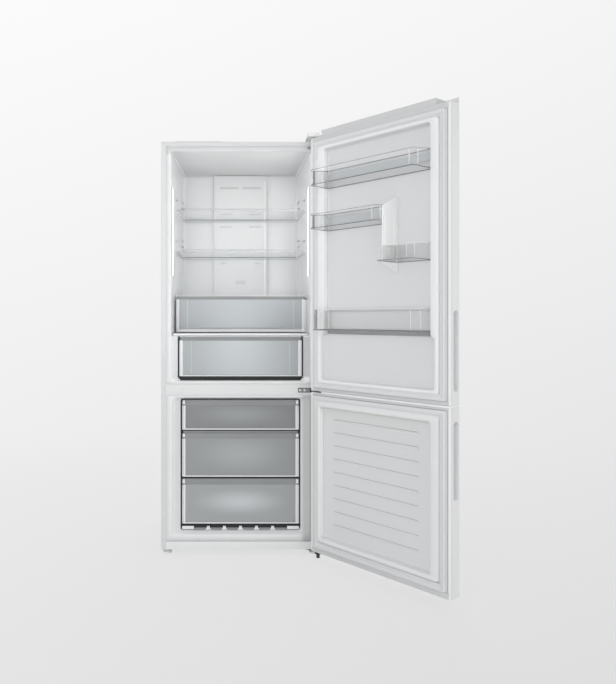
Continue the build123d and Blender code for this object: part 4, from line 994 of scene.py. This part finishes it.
ribs = {"first": 169.0, "pitch": 55.5, "count": 9, "along": (112.0, 548.0), "wide": 9.0, "proud": 3.6}


def linerRibs():
    # half-round bars with round ends on the well's floor
    shells, shades, gleams = [], [], []
    (a0, a1), half, floor = ribs["along"], ribs["wide"] / 2, -dyke["deep"]
    for k in range(ribs["count"]):
        z = ribs["first"] + k * ribs["pitch"]
        # a fine dark line of painted shade along its upper edge and a light one of painted highlight along
        # its lower edge
        for edge, high, group in ((z + half - 0.4, 1.7, shades), (z - half - 0.6, 1.3, gleams)):
            low, top = (a0 + 4, floor - 0.2, edge), (a1 - 4, floor + 0.9, edge + high)
            group.append(doorBlock(low, top, 1, 0.4, 0.2))
        rings = []
        for q in np.linspace(0, pi / 2, 7):
            h = half * cos(q)
            rings.append(boxRing(a0 + half - h, a1 - half + h, z - h - 0.02, z + h + 0.02, max(h, 0.02),
                                 floor - 0.2 + ribs["proud"] * sin(q)))
        shells.append(onDoor(rings))
    for name, group, look in (("LinerRibs", shells, freezerDoorWhite), ("RibShades", shades, lineGrey),
                              ("RibGleams", gleams, beadWhite)):
        makePiece(f"freezer{name}", group, look, body="freezer_door")


# seals, caps and grips
# the sections are rows of (across the band, n), from the seal's outer edge inwards
seal = {
    "a": 20.5, "fridge": (748.0, 1800.0), "freezer": (62.0, 713.0),
    "bellows": ((0.0, 0.1), (16.0, 0.1), (15.5, 1.6), (12.5, 3.0), (13.0, 4.4), (15.8, 5.6), (16.0, 7.0),
                (15.6, 10.4), (14.4, 11.2), (1.6, 11.2), (0.4, 10.4), (0.0, 7.0), (0.2, 5.6), (3.0, 4.4),
                (3.5, 3.0), (0.5, 1.6)),
    "flap": ((15.4, 6.4), (19.0, 6.8), (23.4, 4.6), (24.6, 3.2), (23.0, 3.4), (18.6, 5.6), (15.4, 5.2)),
}


def doorSeal(which):
    # a hollow bellows section carried round the door: two folds under a flat magnet band, and its flap
    a0, far = seal["a"], 2 * door["half"]
    z0, z1 = seal[which]
    shells = []
    for part in ("bellows", "flap"):
        rings = [boxRing(a0 + w, far - a0 - w, z0 + w, z1 - w,
                         2.0 if part == "flap" else max(4.0 - w * 0.2, 0.5), n) for w, n in seal[part]]
        shells.append(onDoor(rings, closed=True))
    makePiece(f"{which}DoorSeal", shells, sealWhite, f"{which}_door_gasket", f"{which}_door",
              sharp=60)


grips = {"fridge": (782.0, 1074.0), "freezer": (390.0, 673.0), "n": (-49.0, -17.0), "deep": 22.0}


def sideGrip(which):
    # stadium outlines from a slim collar on the door's edge down into the pocket
    (z0, z1), (n0, n1), far = grips[which], grips["n"], 2 * door["half"]
    floor = far - grips["deep"] + 7
    stack = [(2.6, far - 0.6), (2.6, far + 0.3), (1.8, far + 0.7), (0.6, far + 0.5), (0.0, far - 0.6)]
    stack += [(-0.8 - 6 * (1 - cos(k)), floor - 6 * sin(k)) for k in np.linspace(0, pi / 2, 6)]
    end = (n1 - n0) / 2 - 0.02
    rings = [ringAt(a, rectOutline(n0 - grow, n1 + grow, z0 - grow, z1 + grow, end + grow, 12), 0)
             for grow, a in stack]
    middle = doorPoint(np.array([far + 300.0, -33.0, (z0 + z1) / 2])) / mm
    makePiece(f"{which}DoorGrip", [onDoor(rings, False, True)], gripGrey, f"{which}_door_grip",
              f"{which}_door", wall=1.0, facing=tuple(middle))


doorStrip = {"line": 1.8, "upright": (12.6, 15.0), "onSeal": (27.2, 28.6), "edge": (0.8, 7.2), "round": 12.0,
             "gleam": (20.0, 52.0)}


def doorStrips(which):
    # grey cap faces above and below the seal, fine dark joints round it, white folds of the skin up the
    # edges, and a painted highlight band on the skin's round outer corner
    z0, z1, top = doorHeights[which]
    low, high = seal[which]
    far, line = 2 * door["half"], doorStrip["line"]

    def plate(a0, a1, n0, n1, v0, v1):
        return doorBlock((a0, n0, v0), (a1, n1, v1), 1, 0.5, 0.2)

    def both(key, *rest):
        # a plate along each edge of the door
        a0, a1 = doorStrip[key]
        return [plate(a0, a1, *rest), plate(far - a1, far - a0, *rest)]

    faces = [plate(7.6, far - 7.6, -0.3, 0.6, *ends)
             for ends in ((high + line, z1 - 0.4), (z0 + 0.4, low - line))]
    makePiece(f"{which}CapFaces", faces, capFace, body=f"{which}_door")
    a0 = doorStrip["upright"][0]
    joints = [plate(a0, far - a0, -0.3, 0.5, *ends) for ends in ((high, high + line), (low - line, low))]
    joints += both("upright", -0.3, 0.7, low, high) + both("onSeal", 11.0, 11.4, low + 9, high - 9)
    makePiece(f"{which}DoorJoints", joints, lineGrey, body=f"{which}_door")
    foldsAndHighlight = both("edge", -0.3, 0.6, z0 + 1, z1 - 1)
    # a painted highlight band on the skin's round outer corner: a = far - r + s cos q, n = r - thick - s sin
    # q
    r, q = doorStrip["round"], np.radians(np.linspace(*doorStrip["gleam"], 7))
    outer, inner = [np.stack([far - r + s * np.cos(q), r - door["thick"] - s * np.sin(q)], 1)
                    for s in (r + 0.15, r - 0.4)]
    loop = np.concatenate([outer, inner[::-1]])
    foldsAndHighlight.append(onDoor([ringAt(z, loop, 2) for z in (z0 + 4, top - 4)]))
    makePiece(f"{which}DoorFoldsAndHighlight", foldsAndHighlight, beadWhite, body=f"{which}_door")


for doorName in ("fridge", "freezer"):
    doorStrips(doorName)
    doorLiner(doorName)
    doorSeal(doorName)
    sideGrip(doorName)
linerRibs()
print("doors ready")


# door bins
bins = {
    "topDoorBin": dict(node="top_door_bin", a=(84.0, 613.0), deep=100.0, z=(1595.0, 1660.0), corner=22.0,
                       rise=12.0, foot=1.8, shade=(2.0, 30.0), rim=binLine),
    "leftDoorBin": dict(node="left_door_bin", a=(84.0, 443.5), deep=102.0, z=(1415.0, 1475.0), corner=22.0,
                        rise=12.0, foot=1.5, shade=(2.0, 34.0), rim=binLine),
    "rightDoorBin": dict(node="right_door_bin", a=(448.5, 613.0), deep=118.0, z=(1260.0, 1318.0), corner=20.0,
                         rise=10.0, foot=1.5, sheet=binPale),
    "bottleDoorBin": dict(node="bottle_door_bin", a=(84.0, 613.0), deep=88.0, z=(996.0, 1082.0), corner=25.0,
                          rise=12.0, foot=2.6, sheet=binPale, shade=(2.0, 9.0)),
}


def backRise(flat, back, rise):
    # how much higher the bin stands: rise * t * t * (3 - 2 t), t going from 0 to 1 over the back 26 mm
    t = np.clip(1 - (flat[:, 1] - back) / 26.0, 0, 1)
    return rise * t * t * (3 - 2 * t)


def doorBin(name, spec):
    # plan outlines up the outside, over a small turned rim and down inside; the back stands higher
    (a0, a1), (z0, z1), deep, r = spec["a"], spec["z"], spec["deep"], spec["corner"]
    back, edge, wall = 0.2 - dyke["deep"], 4.0, 2.5

    def plan(i):
        c = max(r - i, 1.0)
        corners = [(a0 + i, back + i), (a1 - i, back + i), (a1 - i, deep - i), (a0 + i, deep - i)]
        return roundedOutline(corners, [3, 3, c, c], 9)

    def lifted(i, lift, z):
        flat = plan(i)
        return ringAt(z + lift * backRise(flat, back, spec["rise"]), flat, 2)

    def bead(inset, z, radius, lift=0.0):
        # a small circle carried round the plan outline
        circle = np.linspace(0, 2 * pi, 8, endpoint=False)
        return onDoor([lifted(inset + radius * cos(k), lift, z + radius * sin(k)) for k in circle],
                      closed=True)

    def piece(end, shells, look, node=None, sharp=38):
        return makePiece(name + end, shells, look, node, "fridge_door", sharp)

    stack = [(i + 1.2, 0.0, z0 + u) for i, u in turnOver(edge)]
    stack += [(1.0, 0.0, z0 + 9), (0.7, 0.0, z0 + 9.6), (0.5, 0.3, z1 - 7), (0.0, 1.0, z1 - 4),
              (0.0, 1.0, z1 - 1.4), (0.7, 1.0, z1), (wall - 0.5, 1.0, z1), (wall, 1.0, z1 - 0.7),
              (wall + 0.8, 0.0, z0 + wall + edge)]
    stack += [(i + 1.4 + wall, 0.0, z0 + wall + u) for i, u in turnOver(edge)[::-1]]
    sheet = spec.get("sheet", binClear)
    piece("", [onDoor([lifted(*row) for row in stack])], sheet, spec["node"], 45).visible_shadow = False
    rim, slim = spec.get("rim", binGleam), 1.5 if "rim" in spec else 0.9
    if "shade" in spec:
        # a band of painted shade across the back under the rim, and a dark mark of painted shade for the
        # shaded end wall on the hinge end
        low, high = spec["shade"]
        band = doorBlock((a0 + 4.0, back + 3.2, z1 - high), (a1 - 4.0, back + 4.0, z1 - low), 1, 1.0, 0.2)
        piece("Shade", [band], binShade).visible_shadow = False
        piece("End", [doorBlock((a0 + 3.2, deep - 34, z0 + 5), (a0 + 4.4, deep - 17, z1 + 1), 0, 3.0, 0.5)],
              binEdge)
    # the rim and foot beads are real edges of the tub; their dark grey, and the white rim of the pale bins,
    # are painted shade and painted highlight for how the clear edges look edge on
    piece("Rim", [bead(0.9, z1 - 1.0, slim, 1.0)], rim)
    piece("Foot", [bead(spec["foot"] + 0.1, z0 + 2.0, spec["foot"])], binEdge)
    # painted highlights: bright white posts standing up at the front corners and at the hinge end
    post = [(0.01, z0 + 6), (slim * 0.9, z0 + 7), (slim * 0.9, z1 - 4), (0.01, z1 - 3)]
    corners = ((a0 + r, deep), (a1 - r, deep), (a0, deep - r), (a1, deep - r), (a0, 6.0), (a0, 30.0))
    piece("Gleams", [onDoor(turned(post, place, 8)) for place in corners], binGleam)


for binName, binSpec in bins.items():
    doorBin(binName, binSpec)

dividerPlate = {"a": (444.4, 447.6), "n": (-19.8, 72.0), "back": (1216.0, 1521.0), "front": (1256.0, 1472.0)}


def binDivider():
    # a trapezoid plate with round edges and corners, its faces carried across its thickness
    (a0, a1), (n0, n1), back, front = (dividerPlate[k] for k in ("a", "n", "back", "front"))
    turn = turnOver(1.2)
    rings = []
    for i, a in [(i, a0 + d) for i, d in turn] + [(i, a1 - d) for i, d in turn[::-1]]:
        corners = [(n0 + i, back[0] + 1.4 * i), (n1 - i, front[0] + 0.6 * i), (n1 - i, front[1] - 0.6 * i),
                   (n0 + i, back[1] - 1.4 * i)]
        rings.append(ringAt(a, roundedOutline(corners, [2, 6, 6, 2]), 0))
    # white beads down its front edge
    post = [(0.02, front[0] + 6), (1.9, front[0] + 9), (1.9, front[1] - 9), (0.02, front[1] - 6)]
    beads = [onDoor(turned(post, (a1 - 0.5, n), 10)) for n in (n1 - 2.0, n1 - 14, 2.0)]
    makePiece("binDividerBeads", beads, beadWhite, body="fridge_door")
    foot = doorBlock((a0 - 3, n0, back[0] + 8), (a1 + 1.5, n0 + 6, back[1] - 8), 2, 1.5, 1.2)
    makePiece("binDivider", [onDoor(rings), foot], trimWhite, "bin_divider", "fridge_door")


binDivider()
print("bins ready")


# stage, light and camera
# the paper's and the sky's brightness: mid is the tone at the horizon, up and fall its change above and below
# it, across its change to the side; the paper's tone goes with 1 / (y + reach), so both meet without a line.
# The paper is a disc of rings, darker by the shadow inside the first radius and no longer at the second
stage = {"mid": 0.867, "up": 0.195, "across": -0.07, "fall": 0.195, "reach": 3.393, "nearest": 1.9,
         "rings": (0.0, 0.5, 1, 2, 4, 8, 16, 60.0), "shadow": 0.16, "shadowEnds": (1.0, 3.5),
         "paper": (0.8, 0.8, 0.8, 1), "paperRough": 0.9, "sky": (0.985, 0.993, 1.0, 1), "skyPower": 0.645}


def cameraSeen(tree):
    # 1 for rays that show the surroundings: camera, mirror-like and see-through ones
    ray = newNode(tree, "ShaderNodeLightPath").outputs
    seen = mathNode(tree, "MAXIMUM", ray["Is Camera Ray"], ray["Is Glossy Ray"])
    return mathNode(tree, "MAXIMUM", seen, ray["Is Transmission Ray"])


def mixTo(tree, output, share, plain, shown):
    # the output gets the plain look, or the shown one where share is 1
    mix = newNode(tree, "ShaderNodeMixShader", enumerate((share, plain, shown)))
    tree.links.new(mix.outputs[0], tree.nodes[output].inputs["Surface"])


def makeFloor():
    # a disc in rings: every ring at its radius, all at height 0
    rings = turned([(r, 0.0) for r in stage["rings"]], (0.0, 0.0), 96)
    verts, faces = shellOf(rings, False, False)
    mesh = bpy.data.meshes.new("studioFloor")
    mesh.from_pydata(verts.tolist(), [], faces)
    floor = newObject("studioFloor", mesh)
    mat = bpy.data.materials.new("studioPaper")
    mat.use_nodes = True
    tree = mat.node_tree
    paper = tree.nodes["Principled BSDF"]
    paper.inputs["Roughness"].default_value = stage["paperRough"]
    paper.inputs["Base Color"].default_value = stage["paper"]
    calc = partial(mathNode, tree)
    place = newNode(tree, "ShaderNodeTexCoord").outputs["Object"]
    x, y, _ = newNode(tree, "ShaderNodeSeparateXYZ", {0: place}).outputs
    # behind the camera and far to the side the tone goes on with the larger of -y and |x|
    ahead = calc("MAXIMUM", calc("ADD", y, stage["reach"]), stage["nearest"])
    behind = calc("MAXIMUM", calc("MULTIPLY", y, -1.0), calc("ABSOLUTE", x))
    near = calc("DIVIDE", 1.0, calc("MAXIMUM", ahead, behind))
    aside = mapRange(tree, calc("MULTIPLY", x, near), (-1.0, 1.0), (-stage["across"], stage["across"]))
    slope = calc("SUBTRACT", aside, calc("MULTIPLY", near, stage["fall"]))
    glow = newNode(tree, "ShaderNodeEmission", {"Color": calc("ADD", slope, stage["mid"])})
    away = newNode(tree, "ShaderNodeVectorMath", {0: place}, operation="LENGTH").outputs["Value"]
    share = mapRange(tree, away, stage["shadowEnds"], (1 - stage["shadow"], 1.0), True)
    mixTo(tree, "Material Output", calc("MULTIPLY", cameraSeen(tree), share), paper.outputs[0],
          glow.outputs[0])
    floor.data.materials.append(mat)


def makeWorld():
    world = bpy.data.worlds.new("studioWorld")
    scene.world = world
    world.use_nodes = True
    tree = world.node_tree
    light = tree.nodes["Background"]
    light.inputs["Color"].default_value = stage["sky"]
    light.inputs["Strength"].default_value = stage["skyPower"]
    place = newNode(tree, "ShaderNodeTexCoord").outputs["Generated"]
    slope = vectorNumber(tree, "DOT_PRODUCT", place, (stage["across"], 0.0, stage["up"]))
    shown = newNode(tree, "ShaderNodeBackground", {"Color": mathNode(tree, "ADD", slope, stage["mid"])})
    mixTo(tree, "World Output", cameraSeen(tree), light.outputs[0], shown.outputs[0])


softboxes = {
    "keyBox": dict(place=(-1.5, -4.2, 1.8), aim=(0.0, -0.2, 0.85), size=(2.4, 2.4), power=38.0),
    "fillBox": dict(place=(2.6, -3.2, 1.2), aim=(0.2, -0.3, 0.6), size=(1.6, 2.4), power=17.2),
    "sideBox": dict(place=(3.3, -0.9, 1.6), aim=(0.5, -0.6, 1.1), size=(1.0, 1.5), power=3.0),
    "roomBox": dict(place=(0.45, -3.55, 1.5), aim=(-0.05, 0.2, 1.38), size=(0.9, 1.1), power=0.33,
                    spread=16.0, plain=True),
    "topBox": dict(place=(0.2, 0.4, 4.2), aim=(0.1, 0.3, 0.9), size=(2.6, 2.6), power=16.0, plain=True),
    "rearBox": dict(place=(1.2, 3.4, 2.4), aim=(0.1, 0.2, 0.9), size=(2.2, 1.8), power=28.0),
}


def makeLights():
    for name, b in softboxes.items():
        data = bpy.data.lights.new(name, "AREA")
        data.shape = "RECTANGLE"
        data.size, data.size_y = b["size"]
        data.energy = b["power"]
        data.spread = radians(b.get("spread", 180.0))
        lamp = newObject(name, data)
        lamp.location = b["place"]
        lamp.visible_glossy = not b.get("plain", False)
        lamp.rotation_euler = (Vector(b["aim"]) - Vector(b["place"])).to_track_quat("-Z", "Y").to_euler()


view = {"place": (0.0, -3.393, 1.052), "lens": 36.83, "sensor": 36.0, "shift": (0.0987, -0.0370),
        "far": 200.0}


def makeCamera():
    data = bpy.data.cameras.new("studioCamera")
    data.lens = view["lens"]
    data.sensor_width = view["sensor"]
    data.shift_x, data.shift_y = view["shift"]
    data.clip_end = view["far"]
    camera = newObject("studioCamera", data)
    camera.location = view["place"]
    camera.rotation_euler = (pi / 2, 0, 0)
    scene.camera = camera


makeFloor()
makeWorld()
makeLights()
makeCamera()
scene.view_settings.view_transform = "Standard"
print("stage ready")
